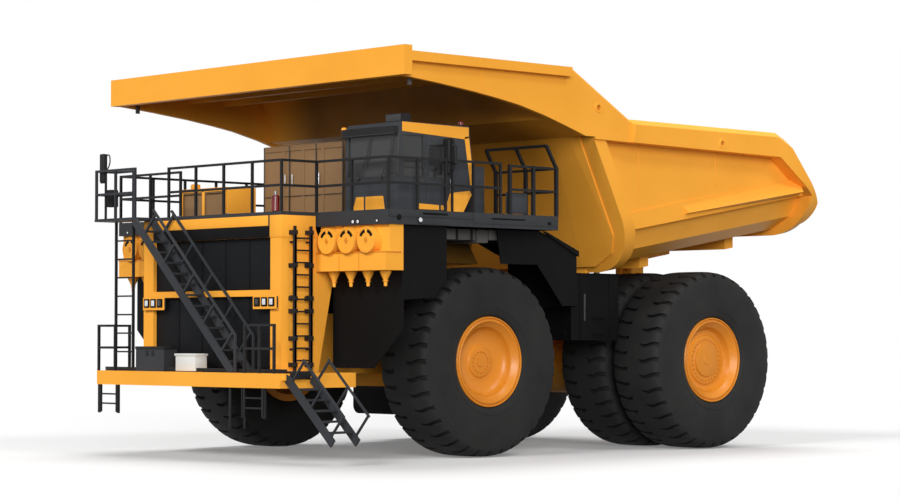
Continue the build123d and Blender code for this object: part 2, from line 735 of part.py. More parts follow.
def main_frame():
    pivot_x = (BOLSTER_INNER_X + BOLSTER_OUTER_X) / 2
    left = [frame_rail(), body_pad(pivot_x)] + frame_pivot(pivot_x) + hoist_foot() + strut_tower()
    pieces = left + [other_side(piece) for piece in left]
    horn_top = PLATFORM_TOP_Z - PLATFORM_PLATE
    nose_y = REAR_AXLE_Y - NOSE_REACH
    # Columns: front y, rear y, bottom z, top z
    cross_members = [
        (FRAME_FRONT_Y, FRAME_FRONT_Y + 300, BUMPER_BOTTOM_Z, horn_top),
        (FRONT_AXLE_Y - 2370, FRONT_AXLE_Y - 2070, RAIL_BOTTOM_Z, RAIL_BOTTOM_Z + 150),
        (FRONT_AXLE_Y + 30, FRONT_AXLE_Y + 330, RAIL_BOTTOM_Z, RAIL_BOTTOM_Z + 150),
        (FRONT_AXLE_Y + 2030, FRONT_AXLE_Y + 2530, RAIL_BOTTOM_Z + 100, RAIL_TOP_Z - 100),
        (nose_y - 200, nose_y, AXLE_Z - 100, AXLE_Z + 450),
        (REAR_AXLE_Y - 1280, REAR_AXLE_Y - 930, REAR_RAIL_BOTTOM_Z, REAR_RAIL_TOP_Z - 230),
        (RAIL_REAR_Y - 450, RAIL_REAR_Y, REAR_RAIL_BOTTOM_Z, REAR_RAIL_TOP_Z),
    ]
    for front_y, rear_y, bottom_z, top_z in cross_members:
        pieces.append(block(-RAIL_INNER_X - 20, RAIL_INNER_X + 20, front_y, rear_y, bottom_z, top_z))
    return joined(pieces)


def engine_block():
    half = RAIL_INNER_X - 40
    return block(-half, half, ENGINE_FRONT_Y, ENGINE_REAR_Y, RAIL_BOTTOM_Z + 150, ENGINE_TOP_Z)


def front_struts():
    low = upright(FRONT_STRUT_X, FRONT_AXLE_Y, RAIL_BOTTOM_Z, STRUT_ROD_TOP_Z, FRONT_STRUT_RADIUS - 60)
    high = upright(FRONT_STRUT_X, FRONT_AXLE_Y, STRUT_ROD_TOP_Z - 100, STRUT_TOP_Z, FRONT_STRUT_RADIUS)
    return joined([low, high])


def rear_struts():
    return upright(REAR_STRUT_X, REAR_AXLE_Y, REAR_SEAT_Z, REAR_RAIL_BOTTOM_Z, REAR_STRUT_RADIUS)


# Bumper platform and radiator

def bumper_platform():
    rear_y = BUMPER_FRONT_Y + BUMPER_DEPTH
    beam = block(-BUMPER_HALF, BUMPER_HALF, BUMPER_FRONT_Y, rear_y, BUMPER_BOTTOM_Z, PLATFORM_TOP_Z)
    floor_low = PLATFORM_TOP_Z - PLATFORM_PLATE
    floor = block(-BUMPER_HALF, BUMPER_HALF, rear_y, PLATFORM_FLOOR_REAR_Y, floor_low, PLATFORM_TOP_Z)
    arm_x = BUMPER_HALF - PLATFORM_ARM_WIDTH
    arm = block(arm_x, BUMPER_HALF, BUMPER_FRONT_Y + 100, PLATFORM_REAR_Y, BUMPER_BOTTOM_Z, PLATFORM_TOP_Z)
    pieces = [beam, floor, arm, other_side(arm)]
    ear_x = STAIR_HINGE_X + 45
    # Columns: y of the hinge ear, reach of its pin
    for y, reach in ((STAIR_FRONT_Y - 60, 80), (STAIR_FRONT_Y + STAIR_WIDTH + 60, -80)):
        pieces.append(block(BUMPER_HALF - 60, ear_x, y - 20, y + 20, STAIR_HINGE_Z - 60, STAIR_HINGE_Z + 60))
        pin_start = (STAIR_HINGE_X, y, STAIR_HINGE_Z)
        pin_end = (STAIR_HINGE_X, y + reach, STAIR_HINGE_Z)
        pieces.append(round_bar(pin_start, pin_end, STAIR_PIN_RADIUS))
    return joined(pieces)


def radiator_frame():
    outer = CENTRE_DECK_HALF
    rear = GRILLE_FRONT_Y + POST_DEPTH
    post = block(outer - POST_WIDTH, outer, GRILLE_FRONT_Y, rear, PLATFORM_TOP_Z, DECK_BOTTOM_Z)
    side_outline = [
        (rear, PLATFORM_TOP_Z),
        (rear + 570, PLATFORM_TOP_Z),
        (rear + 960, DECK_BOTTOM_Z - 1130),
        (rear + 940, DECK_BOTTOM_Z - 1030),
        (rear + 470, DECK_BOTTOM_Z),
        (rear, DECK_BOTTOM_Z),
    ]
    plate = side_plate(side_outline, outer - 60, outer)
    inner = outer - POST_WIDTH
    top = block(-inner - 10, inner + 10, GRILLE_FRONT_Y, rear, DECK_BOTTOM_Z - TOP_BAR_HEIGHT, DECK_BOTTOM_Z)
    middle = block(-inner - 10, inner + 10, GRILLE_FRONT_Y, rear, MID_BAR_Z, MID_BAR_Z + MID_BAR_HEIGHT)
    left = [post, plate]
    return joined(left + [other_side(piece) for piece in left] + [top, middle])


def screen(low_z, high_z):
    """One louvred screen: a back plate with sloped slats."""
    half = CENTRE_DECK_HALF - POST_WIDTH
    face_y = GRILLE_FRONT_Y + SCREEN_RECESS
    count = round((high_z - low_z) / SLAT_PITCH)
    pitch = (high_z - low_z) / count
    outline = [(face_y + 120, low_z)]
    for step in range(count):
        z = low_z + step * pitch
        outline += [(face_y, z), (face_y, z + 0.3 * pitch), (face_y + 60, z + pitch)]
    outline.append((face_y + 120, high_z))
    return side_plate(outline, -half, half)


# Deck and what stands under it

def deck_tray(x_low, x_high, y_low, y_high):
    """A deck plate with its edges turned down and ribs across its underside."""
    tray = block(x_low, x_high, y_low, y_high, DECK_BOTTOM_Z, DECK_TOP_Z)
    in_low = x_low + DECK_PLATE
    in_high = x_high - DECK_PLATE
    under = DECK_TOP_Z - DECK_PLATE
    whole = tray - block(in_low, in_high, y_low + DECK_PLATE, y_high - DECK_PLATE, DECK_BOTTOM_Z - 1, under)
    ribs = max(1, round((y_high - y_low) / DECK_RIB_PITCH))
    pitch = (y_high - y_low) / (ribs + 1)
    for step in range(1, ribs + 1):
        y = y_low + step * pitch
        whole = whole + block(in_low - 5, in_high + 5, y - 30, y + 30, DECK_BOTTOM_Z + 60, under + 5)
    return whole


def deck():
    """The centre deck over the engine and the two wings, welded together."""
    centre = deck_tray(-CENTRE_DECK_HALF, CENTRE_DECK_HALF, CENTRE_DECK_FRONT_Y, DECK_REAR_Y)
    wing = deck_tray(CENTRE_DECK_HALF, WING_HALF, WING_FRONT_Y, DECK_REAR_Y)
    return joined([centre, wing, other_side(wing)])


def deck_supports():
    """Legs between the frame and the deck, with the cooler box and the duct beside them."""
    in_x = RAIL_OUTER_X - LEG_WIDTH
    leg = block(in_x, BOX_INNER_X, LEG_FRONT_Y, LEG_FRONT_Y + LEG_DEPTH, RAIL_TOP_Z, DECK_BOTTOM_Z)
    rear_leg = block(in_x, RAIL_OUTER_X, REAR_LEG_Y, REAR_LEG_Y + LEG_DEPTH, RAIL_TOP_Z, DECK_BOTTOM_Z)
    box_low = DECK_BOTTOM_Z - COOLER_BOX_HEIGHT
    box_rear_y = COOLER_BOX_FRONT_Y + LEG_DEPTH
    box = block(BOX_INNER_X, CENTRE_DECK_HALF + 100, COOLER_BOX_FRONT_Y, box_rear_y, box_low, DECK_BOTTOM_Z)
    link_x = RAIL_OUTER_X - 100
    box_link = block(link_x, BOX_INNER_X + 10, COOLER_BOX_FRONT_Y, LEG_FRONT_Y + 10, box_low, DECK_BOTTOM_Z)
    duct_low = DECK_BOTTOM_Z - DUCT_HEIGHT
    duct = block(RAIL_OUTER_X, CENTRE_DECK_HALF, DUCT_FRONT_Y, DUCT_REAR_Y, duct_low, DECK_BOTTOM_Z)
    link_front_y = REAR_LEG_Y - LEG_DEPTH
    duct_link = block(in_x + 100, RAIL_OUTER_X, link_front_y, REAR_LEG_Y + 280, duct_low, DECK_BOTTOM_Z)
    return joined([leg, rear_leg, box, box_link, duct, duct_link])


def mud_panel():
    foot_z = PLATFORM_TOP_Z + MUD_PANEL_GAP
    outline = [
        (CENTRE_DECK_HALF, DECK_BOTTOM_Z),
        (CENTRE_DECK_HALF, foot_z),
        (MUD_PANEL_FOOT_X, foot_z),
        (MUD_PANEL_OUTER_X, foot_z + MUD_PANEL_SLANT),
        (MUD_PANEL_OUTER_X, DECK_BOTTOM_Z),
    ]
    return front_plate(outline, MUD_PANEL_Y, MUD_PANEL_Y + GUARD_PLATE)


def rear_curtain():
    """Panel behind the front wheel, on two stays from the deck's rear edge."""
    top_z = DECK_BOTTOM_Z - CURTAIN_DROP
    rear_y = CURTAIN_Y + GUARD_PLATE
    low_z = top_z - CURTAIN_HEIGHT
    panel = block(CURTAIN_INNER_X, CURTAIN_OUTER_X, CURTAIN_Y, rear_y, low_z, top_z)
    stay_outline = [
        (DECK_REAR_Y - 400, DECK_BOTTOM_Z),
        (DECK_REAR_Y - 60, DECK_BOTTOM_Z),
        (rear_y, top_z),
        (CURTAIN_Y, top_z - 150),
        (CURTAIN_Y - 290, top_z - 90),
    ]
    stay = side_plate(stay_outline, CURTAIN_OUTER_X - STAY_WIDTH, CURTAIN_OUTER_X)
    inner_stay = Pos(CURTAIN_INNER_X + STAY_WIDTH - CURTAIN_OUTER_X, 0, 0) * stay
    return joined([panel, stay, inner_stay])


def lamp_clusters():
    """Three head lamps in a bracket on each side, below the middle bar."""
    face_y = GRILLE_FRONT_Y
    outer = CENTRE_DECK_HALF - LAMP_CLUSTER_INSET
    inner = outer - LAMP_CLUSTER_WIDTH
    bracket = block(inner, outer, face_y - 60, face_y, MID_BAR_Z - LAMP_CLUSTER_HEIGHT, MID_BAR_Z)
    z = MID_BAR_Z - LAMP_CLUSTER_HEIGHT / 2
    for step in range(LAMP_COUNT):
        x = inner + LAMP_CLUSTER_WIDTH * (step + 0.5) / LAMP_COUNT
        lamp = Pos(x, face_y - 50, z) * extrude(Plane.XZ * RegularPolygon(LAMP_RADIUS, 12), amount=LAMP_DEPTH)
        bracket = bracket + lamp
    return [bracket, other_side(bracket)]


def platform_boxes():
    """The battery box and the switch box on the bumper platform."""
    boxes = []
    # Columns: lowest x, highest x, depth, height
    for low_x, high_x, depth, height in ((-1950, -950, 350, 514), (-530, 130, 310, 374)):
        rear_y = PLATFORM_BOX_Y + depth
        boxes.append(block(low_x, high_x, PLATFORM_BOX_Y, rear_y, PLATFORM_TOP_Z, PLATFORM_TOP_Z + height))
    return boxes


def air_filter():
    inner_x = CENTRE_DECK_HALF + FILTER_SIDE_GAP
    low_z = FILTER_STEP_Z - FILTER_LOWER_HEIGHT
    upper = block(inner_x, FILTER_OUTER_X, FILTER_FRONT_Y + 120, FILTER_REAR_Y, FILTER_STEP_Z, DECK_BOTTOM_Z)
    lower = block(inner_x, FILTER_OUTER_X, FILTER_FRONT_Y, FILTER_REAR_Y, low_z, FILTER_STEP_Z)
    pieces = [upper, lower]
    for step in range(CAP_COUNT):
        pieces.append(intake_cap(CAP_FIRST_X + CAP_PITCH * step))
    for step in range(CONE_COUNT):
        pieces.append(dust_cone(CONE_FIRST_X + CONE_PITCH * step, low_z))
    return joined(pieces)


def dust_cone(x, high_z):
    """A dust cone with its nozzle, under the filter housing."""
    outline = [
        (0, 20),
        (CONE_RADIUS, 20),
        (CONE_RADIUS, -40),
        (NOZZLE_RADIUS, -CONE_HEIGHT),
        (NOZZLE_RADIUS, -CONE_HEIGHT - NOZZLE_LENGTH),
        (0, -CONE_HEIGHT - NOZZLE_LENGTH),
    ]
    face = make_face(Polyline(*outline, close=True))
    return Pos(x, FILTER_FRONT_Y + 220, high_z) * revolve(Plane.XZ * face, axis=Axis.Z)


def intake_cap(x):
    """A round air intake with slots round its hub."""
    cap = extrude(Plane.XZ * RegularPolygon(CAP_RADIUS, 24), amount=CAP_LENGTH)
    slot = extrude(Plane.XZ * Rectangle(CAP_SLOT_LENGTH, CAP_SLOT_WIDTH), amount=60)
    for step in range(CAP_SLOTS):
        turn = Rot(0, 360 * step / CAP_SLOTS, 0)
        slot_x = CAP_HUB_RADIUS + CAP_SLOT_LENGTH / 2
        cap = cap - turn * (Pos(slot_x, 50 - CAP_LENGTH, 0) * slot)
    return Pos(x, FILTER_FRONT_Y + 140, FILTER_STEP_Z + CAP_HEIGHT) * cap


def tank_brackets():
    """Two brackets between the frame rail and a tank on the left side."""
    high_z = TANK_BRACKET_Z + TANK_BRACKET_HEIGHT
    pieces = []
    # Columns: front y and rear y of each bracket, from the front of the tank
    for front, rear in ((180, 380), (630, 800)):
        front_y = TANK_FRONT_Y + front
        rear_y = TANK_FRONT_Y + rear
        pieces.append(block(RAIL_OUTER_X, TANK_INNER_X + 5, front_y, rear_y, TANK_BRACKET_Z, high_z))
    return pieces


def hydraulic_tank():
    rear_y = TANK_FRONT_Y + TANK_LENGTH
    top_z = HYDRAULIC_TANK_Z + HYDRAULIC_TANK_HEIGHT
    outer_x = TANK_INNER_X + HYDRAULIC_TANK_WIDTH
    box = block(TANK_INNER_X, outer_x, TANK_FRONT_Y, rear_y, HYDRAULIC_TANK_Z, top_z)
    return joined([box] + tank_brackets())


def fuel_tank():
    rear_y = TANK_FRONT_Y + TANK_LENGTH - 10
    top_z = FUEL_TANK_Z + FUEL_TANK_HEIGHT
    box = block(TANK_INNER_X, TANK_INNER_X + FUEL_TANK_WIDTH, TANK_FRONT_Y, rear_y, FUEL_TANK_Z, top_z)
    long_edges = box.edges().filter_by(Axis.Y)
    return other_side(joined([fillet(long_edges, FUEL_TANK_EDGE)] + tank_brackets()))


# Handrails, ladders and stairs

def railing(points, base_z, posts_every=900, height=RAIL_HEIGHT, mid=True):
    """Posts, a top rail and a middle rail along a level line of (x, y) points."""
    half = RAIL_BAR / 2
    pieces = []
    for (x_a, y_a), (x_b, y_b) in zip(points, points[1:]):
        levels = [height - half, height / 2] if mid else [height - half]
        for level in levels:
            pieces.append(bar((x_a, y_a, base_z + level), (x_b, y_b, base_z + level), RAIL_BAR))
        length = math.hypot(x_b - x_a, y_b - y_a)
        count = max(1, round(length / posts_every))
        for step in range(count + 1):
            x = x_a + (x_b - x_a) * step / count
            y = y_a + (y_b - y_a) * step / count
            pieces.append(block(x - half, x + half, y - half, y + half, base_z, base_z + height))
    return joined(pieces)


def handrails():
    edge = WING_HALF - RAIL_INSET
    front = WING_FRONT_Y + RAIL_INSET
    centre_front = CENTRE_DECK_FRONT_Y + RAIL_INSET
    step_x = CENTRE_DECK_HALF - RAIL_INSET
    gate_y = DECK_REAR_Y - 1710
    stair_x = STAIRWAY_TOP_X + 450
    left_line = [(stair_x, centre_front), (step_x, centre_front), (step_x, front)]
    left_line += [(edge, front), (edge, gate_y)]
    right_line = [(-edge, DECK_REAR_Y - 310), (-edge, front), (-step_x, front)]
    return [railing(left_line, DECK_TOP_Z), railing(right_line, DECK_TOP_Z)]


def rear_guard():
    """Bent guard rail at the rear of the left wing."""
    edge = WING_HALF - RAIL_INSET
    rear = DECK_REAR_Y - RAIL_INSET
    start_x = edge - GUARD_RAIL_WIDTH
    knee_z = DECK_TOP_Z + GUARD_KNEE
    top_z = DECK_TOP_Z + GUARD_TOP
    lean_y = rear - GUARD_LEAN
    pieces = []
    # Columns: x and y of each post, in shares of the rail's width and of its length
    for across, back in ((0, 0), (0.5, 0), (1, 0), (1, 0.5), (1, 1)):
        x = start_x + GUARD_RAIL_WIDTH * across
        y = rear - GUARD_RAIL_LENGTH * back
        pieces.append(block(x - 35, x + 35, y - 35, y + 35, DECK_TOP_Z, knee_z))
        if back == 0:
            pieces.append(bar((x, y, knee_z - 20), (x, lean_y, top_z), 60))
    pieces.append(bar((start_x, lean_y, top_z), (edge, lean_y, top_z), 60))
    for z in (DECK_TOP_Z + GUARD_KNEE / 2, knee_z - 30):
        pieces.append(bar((start_x, rear, z), (edge, rear, z), RAIL_BAR))
        pieces.append(bar((edge, rear, z), (edge, rear - GUARD_RAIL_LENGTH, z), RAIL_BAR))
    return joined(pieces)


def stair_flight(start, end, width, treads, inset=0):
    """Two stringers and their treads; start and end are on the front stringer."""
    across = Vector(0, width, 0)
    pieces = []
    for shift in (Vector(0, 0, 0), across):
        pieces.append(bar(tuple(Vector(*start) + shift), tuple(Vector(*end) + shift), STRINGER, 180))
    for step in range(1, treads + 1):
        share = step / (treads + 1)
        x = start[0] + (end[0] - start[0]) * share
        z = start[2] + (end[2] - start[2]) * share
        pieces.append(block(x - 110, x + 110, start[1], start[1] + width, z - 20, z + 20))
    return pieces


def front_stairway():
    """Long stairway that crosses in front of the radiator, with the landing at its head."""
    start = (STAIRWAY_TOP_X, STAIRWAY_FRONT_Y, DECK_TOP_Z - 80)
    end = (STAIRWAY_FOOT_X, STAIRWAY_FRONT_Y, PLATFORM_TOP_Z)
    pieces = stair_flight(start, end, STAIRWAY_WIDTH, 13)
    front_y = STAIRWAY_FRONT_Y - STRINGER / 2
    low_z = DECK_TOP_Z - DECK_PLATE
    head_x = STAIRWAY_TOP_X + 40
    pieces.append(block(LANDING_END_X, head_x, front_y, CENTRE_DECK_FRONT_Y, low_z, DECK_TOP_Z))
    pieces += stairway_rails()
    corner_y = front_y + RAIL_INSET
    rear_y = CENTRE_DECK_FRONT_Y - RAIL_INSET
    corner_x = LANDING_END_X + RAIL_INSET
    end_x = corner_x + 670
    rail_line = [(STAIRWAY_TOP_X, corner_y), (corner_x, corner_y), (corner_x, rear_y), (end_x, rear_y)]
    pieces.append(railing(rail_line, DECK_TOP_Z - 5))
    below = block(-BODY_HALF, BODY_HALF, -FAR - FAR, GRILLE_FRONT_Y + 30, 0, PLATFORM_TOP_Z)
    return joined(pieces) - below


def stairway_rails():
    """Sloped handrails over both stringers, on struts square to the slope."""
    pieces = []
    run = Vector(STAIRWAY_FOOT_X - STAIRWAY_TOP_X, 0, PLATFORM_TOP_Z - DECK_TOP_Z + 80)
    along = run.normalized()
    up = Vector(-along.Z, 0, along.X)
    for y in (STAIRWAY_FRONT_Y, STAIRWAY_FRONT_Y + STAIRWAY_WIDTH):
        top = Vector(STAIRWAY_TOP_X, y, DECK_TOP_Z - 80)
        rail_low = top + along * (run.length * 0.9) + up * STAIR_RAIL_RISE
        pieces.append(bar(tuple(top + along * 350 + up * STAIR_RAIL_RISE), tuple(rail_low), 45))
        pieces.append(bar((rail_low.X, y, rail_low.Z + 20), (rail_low.X, y, PLATFORM_TOP_Z), 45))
        for share in (0.1, 0.3, 0.5, 0.7, 0.88):
            foot = top + along * (run.length * share)
            pieces.append(bar(tuple(foot), tuple(foot + up * STAIR_RAIL_RISE), 45))
    return pieces


def ladder(x_a, y_a, x_b, y_b, low_z, high_z, rung_pitch):
    """An upright ladder between two posts."""
    pieces = []
    for x, y in ((x_a, y_a), (x_b, y_b)):
        pieces.append(block(x - 25, x + 25, y - 25, y + 25, low_z, high_z))
    count = int((high_z - low_z) / rung_pitch)
    for step in range(1, count + 1):
        z = low_z + step * (high_z - low_z) / (count + 1)
        pieces.append(bar((x_a, y_a, z), (x_b, y_b, z), 35))
    return joined(pieces)


def access_ladders():
    """Upright ladders beside the left radiator post and up to the landing."""
    near_x = CENTRE_DECK_HALF + 150
    near_y = GRILLE_FRONT_Y + 240
    rear_y = near_y + LADDER_WIDTH
    near = ladder(near_x, near_y, near_x, rear_y, PLATFORM_TOP_Z, DECK_BOTTOM_Z, 270)
    for share in (0.16, 0.52, 0.89):
        z = PLATFORM_TOP_Z + (DECK_BOTTOM_Z - PLATFORM_TOP_Z) * share
        for y in (near_y, rear_y):
            near = near + block(CENTRE_DECK_HALF, near_x, y - 20, y + 20, z - 20, z + 20)
    far_y = CENTRE_DECK_FRONT_Y - 25
    far_x = LANDING_END_X + 60
    far = ladder(far_x, far_y, far_x + 640, far_y, PLATFORM_TOP_Z, DECK_TOP_Z - DECK_PLATE, 420)
    return [near, far]


def platform_rails():
    """Rails at both ends of the bumper platform."""
    front_y = BUMPER_FRONT_Y + RAIL_INSET
    end_x = BUMPER_HALF - RAIL_INSET
    high = PLATFORM_RAIL_HEIGHT
    near = railing([(end_x - 1120, front_y), (end_x - 180, front_y)], PLATFORM_TOP_Z, 470, high)
    far_line = [(-end_x, GRILLE_FRONT_Y + 170), (-end_x, front_y), (600 - end_x, front_y)]
    return [near, railing(far_line, PLATFORM_TOP_Z, 600, high)]


def hanging_ladders():
    """Short ladders below the bumper."""
    y = BUMPER_FRONT_Y + 50
    pieces = []
    for x in (RAIL_INSET - BUMPER_HALF, BUMPER_HALF - 1230):
        pieces.append(ladder(x, y, x + HANGING_LADDER_WIDTH, y, HANGING_LADDER_Z, BUMPER_BOTTOM_Z, 210))
    return pieces


def boarding_stair():
    y_high = STAIR_FRONT_Y + STAIR_WIDTH
    start = (STAIR_HINGE_X, STAIR_FRONT_Y, STAIR_HINGE_Z)
    end = (STAIR_FOOT_X, STAIR_FRONT_Y, STAIR_FOOT_Z)
    run = Vector(*end) - Vector(*start)
    along = run.normalized()
    pieces = stair_flight(tuple(Vector(*start) + along * 45), end, STAIR_WIDTH, 5)
    up = Vector(-along.Z, 0, along.X) * STAIR_RAIL_RISE
    for y in (STAIR_FRONT_Y, y_high):
        base = Vector(STAIR_HINGE_X, y, STAIR_HINGE_Z)
        pieces.append(bar(tuple(base + along * 150 + up), tuple(base + along * (run.length - 100) + up), 40))
        for share in (0.1, 0.5, 0.93):
            foot = base + along * (run.length * share)
            pieces.append(bar(tuple(foot), tuple(foot + up * 1.015), 40))
        eye = round_bar((STAIR_HINGE_X, y - 20, STAIR_HINGE_Z), (STAIR_HINGE_X, y + 20, STAIR_HINGE_Z), 55)
        pieces.append(eye)
    bore_start = (STAIR_HINGE_X, STAIR_FRONT_Y - 100, STAIR_HINGE_Z)
    bore_end = (STAIR_HINGE_X, y_high + 100, STAIR_HINGE_Z)
    return joined(pieces) - round_bar(bore_start, bore_end, STAIR_PIN_RADIUS + RUNNING_GAP)


# Cab and deck boxes

def cab_outline(inset):
    rear_y = CAB_FRONT_Y + CAB_LENGTH
    return [
        (CAB_FRONT_Y + inset, DECK_TOP_Z + inset),
        (CAB_FRONT_Y + inset, CAB_ROOF_Z - 100 - inset / 2),
        (CAB_FRONT_Y + 90 + inset / 2, CAB_ROOF_Z - inset),
        (rear_y - inset, CAB_ROOF_Z - inset),
        (rear_y + 170 - inset, DECK_TOP_Z + CAB_WAIST),
        (rear_y - 220 - inset, DECK_TOP_Z + inset),
    ]


def window_cuts(depth):
    """Boxes for the window openings, each reaching a depth past both faces of its wall."""
    outer_x = CAB_INNER_X + CAB_WIDTH
    side_in = outer_x - CAB_WALL - depth
    side_out = outer_x + depth
    door_in = CAB_INNER_X - depth
    door_out = CAB_INNER_X + CAB_WALL + depth
    front_in = CAB_FRONT_Y - depth
    front_out = CAB_FRONT_Y + CAB_WALL + depth
    low = WINDOW_SILL_Z
    high = WINDOW_HEAD_Z
    # Columns: lowest x, highest x, lowest y, highest y, top
    openings = [
        (CAB_INNER_X + 110, outer_x - 110, front_in, front_out, high),
        (side_in, side_out, CAB_FRONT_Y + 140, CAB_FRONT_Y + 690, high),
        (side_in, side_out, CAB_FRONT_Y + 850, CAB_FRONT_Y + 1350, high - 180),
        (door_in, door_out, CAB_FRONT_Y + 140, CAB_FRONT_Y + 690, high),
    ]
    return [block(x_low, x_high, y_low, y_high, low, top) for x_low, x_high, y_low, y_high, top in openings]


def door_hinge_bar(low_z, high_z, radius):
    """An upright round bar on the line of the door's hinges."""
    return upright(CAB_INNER_X - DOOR_HINGE_OUT, DOOR_REAR_Y + DOOR_HINGE_BACK, low_z, high_z, radius)


def cab_shell():
    outer_x = CAB_INNER_X + CAB_WIDTH
    room = side_plate(cab_outline(CAB_WALL), CAB_INNER_X + CAB_WALL, outer_x - CAB_WALL)
    shell = side_plate(cab_outline(0), CAB_INNER_X, outer_x) - room
    for cut in window_cuts(10):
        shell = shell - cut
    door_front = DOOR_REAR_Y - DOOR_WIDTH - DOOR_GAP
    door_rear = DOOR_REAR_Y + DOOR_GAP
    wall_in = CAB_INNER_X - 10
    wall_out = CAB_INNER_X + CAB_WALL + 10
    door_low = DOOR_BOTTOM_Z - DOOR_GAP
    shell = shell - block(wall_in, wall_out, door_front, door_rear, door_low, DOOR_TOP_Z + DOOR_GAP)
    hinge_y = DOOR_REAR_Y + DOOR_HINGE_BACK
    half = DOOR_HINGE_RADIUS
    for z in (DOOR_BOTTOM_Z + 300, DOOR_TOP_Z - 300):
        ear_x = CAB_INNER_X - 50
        shell = shell + block(ear_x, CAB_INNER_X + 5, hinge_y - half, hinge_y + half, z - 100, z - 50)
        shell = shell + door_hinge_bar(z - 60, z + 50, DOOR_PIN_RADIUS)
    return shell


def cab_glass():
    return window_cuts(-(CAB_WALL - PANE) / 2)


def door_window(x_low, x_high):
    """A box that fills the door's window opening between two x places."""
    front_y = DOOR_REAR_Y - DOOR_WIDTH + DOOR_FRAME
    return block(x_low, x_high, front_y, DOOR_REAR_Y - DOOR_FRAME, WINDOW_SILL_Z, WINDOW_HEAD_Z)


def cab_door():
    in_x = CAB_INNER_X
    out_x = CAB_INNER_X + CAB_WALL
    door = block(in_x, out_x, DOOR_REAR_Y - DOOR_WIDTH, DOOR_REAR_Y, DOOR_BOTTOM_Z, DOOR_TOP_Z)
    door = door - door_window(in_x - 10, out_x + 10)
    hinge_y = DOOR_REAR_Y + DOOR_HINGE_BACK
    for z in (DOOR_BOTTOM_Z + 300, DOOR_TOP_Z - 300):
        leaf = block(in_x - 40, in_x + 5, DOOR_REAR_Y - DOOR_FRAME, DOOR_REAR_Y - 20, z - 40, z + 40)
        strap = block(in_x - 40, in_x - 12, DOOR_REAR_Y - 30, hinge_y, z - 40, z + 40)
        barrel = door_hinge_bar(z - 40, z + 40, DOOR_HINGE_RADIUS)
        hole = door_hinge_bar(z - 60, z + 60, DOOR_PIN_RADIUS + RUNNING_GAP)
        door = joined([door, leaf, strap, barrel]) - hole
    return door


def door_pane():
    middle = CAB_INNER_X + CAB_WALL / 2
    return door_window(middle - PANE / 2, middle + PANE / 2)


def cab_interior():
    """The driver's seat, and the dash with the steering wheel."""
    low = DECK_TOP_Z + CAB_WALL
    middle = CAB_INNER_X + CAB_WIDTH / 2
    seat_y = CAB_FRONT_Y + SEAT_BACK
    base = block(middle - 200, middle + 200, seat_y, seat_y + 400, low, low + SEAT_HEIGHT)
    cushion_top = low + SEAT_HEIGHT + 140
    cushion = block(middle - 270, middle + 270, seat_y - 120, seat_y + 470, low + SEAT_HEIGHT, cushion_top)
    back_outline = [
        (seat_y + 370, cushion_top),
        (seat_y + 490, cushion_top),
        (seat_y + 600, cushion_top + 710),
        (seat_y + 480, cushion_top + 710),
    ]
    driver = joined([base, cushion, side_plate(back_outline, middle - 250, middle + 250)])
    dash_in = CAB_INNER_X + CAB_WALL + 60
    dash_out = CAB_INNER_X + CAB_WIDTH - CAB_WALL - 60
    dash = block(dash_in, dash_out, CAB_FRONT_Y + CAB_WALL + 10, CAB_FRONT_Y + 400, low, low + DASH_HEIGHT)
    centre = Vector(middle, CAB_FRONT_Y + 560, low + DASH_HEIGHT + 200)
    column = round_bar((middle, centre.Y - 210, centre.Z - 260), tuple(centre), 35)
    wheel_plane = Plane(origin=centre, z_dir=Vector(0, 210, 260))
    wheel = wheel_plane * Torus(STEERING_WHEEL_RADIUS, 18)
    spoke = extrude(wheel_plane * Rectangle(2 * STEERING_WHEEL_RADIUS, 40), amount=20)
    return [driver, joined([dash, column, spoke, wheel])]


def cab_fittings():
    """Visor over the windscreen, roof unit and beacons."""
    outer_x = CAB_INNER_X + CAB_WIDTH
    roof = CAB_ROOF_Z
    visor = block(CAB_INNER_X, outer_x, CAB_FRONT_Y - 110, CAB_FRONT_Y, WINDOW_HEAD_Z + 20, roof - 100)
    roof_unit = block(outer_x - 490, outer_x, CAB_FRONT_Y + 90, CAB_FRONT_Y + 340, roof, roof + 170)
    rear_beacon = upright(outer_x - 110, CAB_FRONT_Y + CAB_LENGTH - 130, roof, roof + 90, 60)
    arm_x = CAB_INNER_X - 90
    arm = block(arm_x - 40, CAB_INNER_X, CAB_FRONT_Y, CAB_FRONT_Y + 80, roof - 270, roof - 230)
    front_beacon = upright(arm_x, CAB_FRONT_Y + 40, roof - 250, roof - 50, 50)
    return [visor, roof_unit, rear_beacon, joined([arm, front_beacon])]


def mirror_pole(x, y, base_z, top_z, head_width, head_height):
    """A post with one mirror head that faces the rear."""
    post = block(x - 20, x + 20, y - 20, y + 20, base_z, top_z)
    head = block(x - 20 - head_width, x - 20, y - 30, y + 20, top_z - head_height, top_z)
    return joined([post, head])


def mirror_poles():
    near = mirror_pole(WING_HALF - 75, CAB_FRONT_Y + 1280, DECK_TOP_Z, DECK_TOP_Z + 1520, 200, 620)
    far = mirror_pole(LANDING_END_X + 250, STAIRWAY_FRONT_Y + 100, DECK_TOP_Z, DECK_TOP_Z + 1430, 150, 640)
    return [near, far]


def control_cabinet():
    top_z = DECK_TOP_Z + CABINET_HEIGHT
    high_x = CABINET_LOW_X + CABINET_WIDTH
    body = block(CABINET_LOW_X, high_x, CABINET_FRONT_Y, CABINET_FRONT_Y + CABINET_DEPTH, DECK_TOP_Z, top_z)
    pitch = CABINET_WIDTH / CABINET_DOORS
    for step in range(CABINET_DOORS):
        x = CABINET_LOW_X + pitch * (step + 0.5)
        half = pitch / 2 - 40
        door_y = CABINET_FRONT_Y + 20
        body = body - block(x - half, x + half, CABINET_FRONT_Y - 10, door_y, DECK_TOP_Z + 120, top_z - 120)
    return body


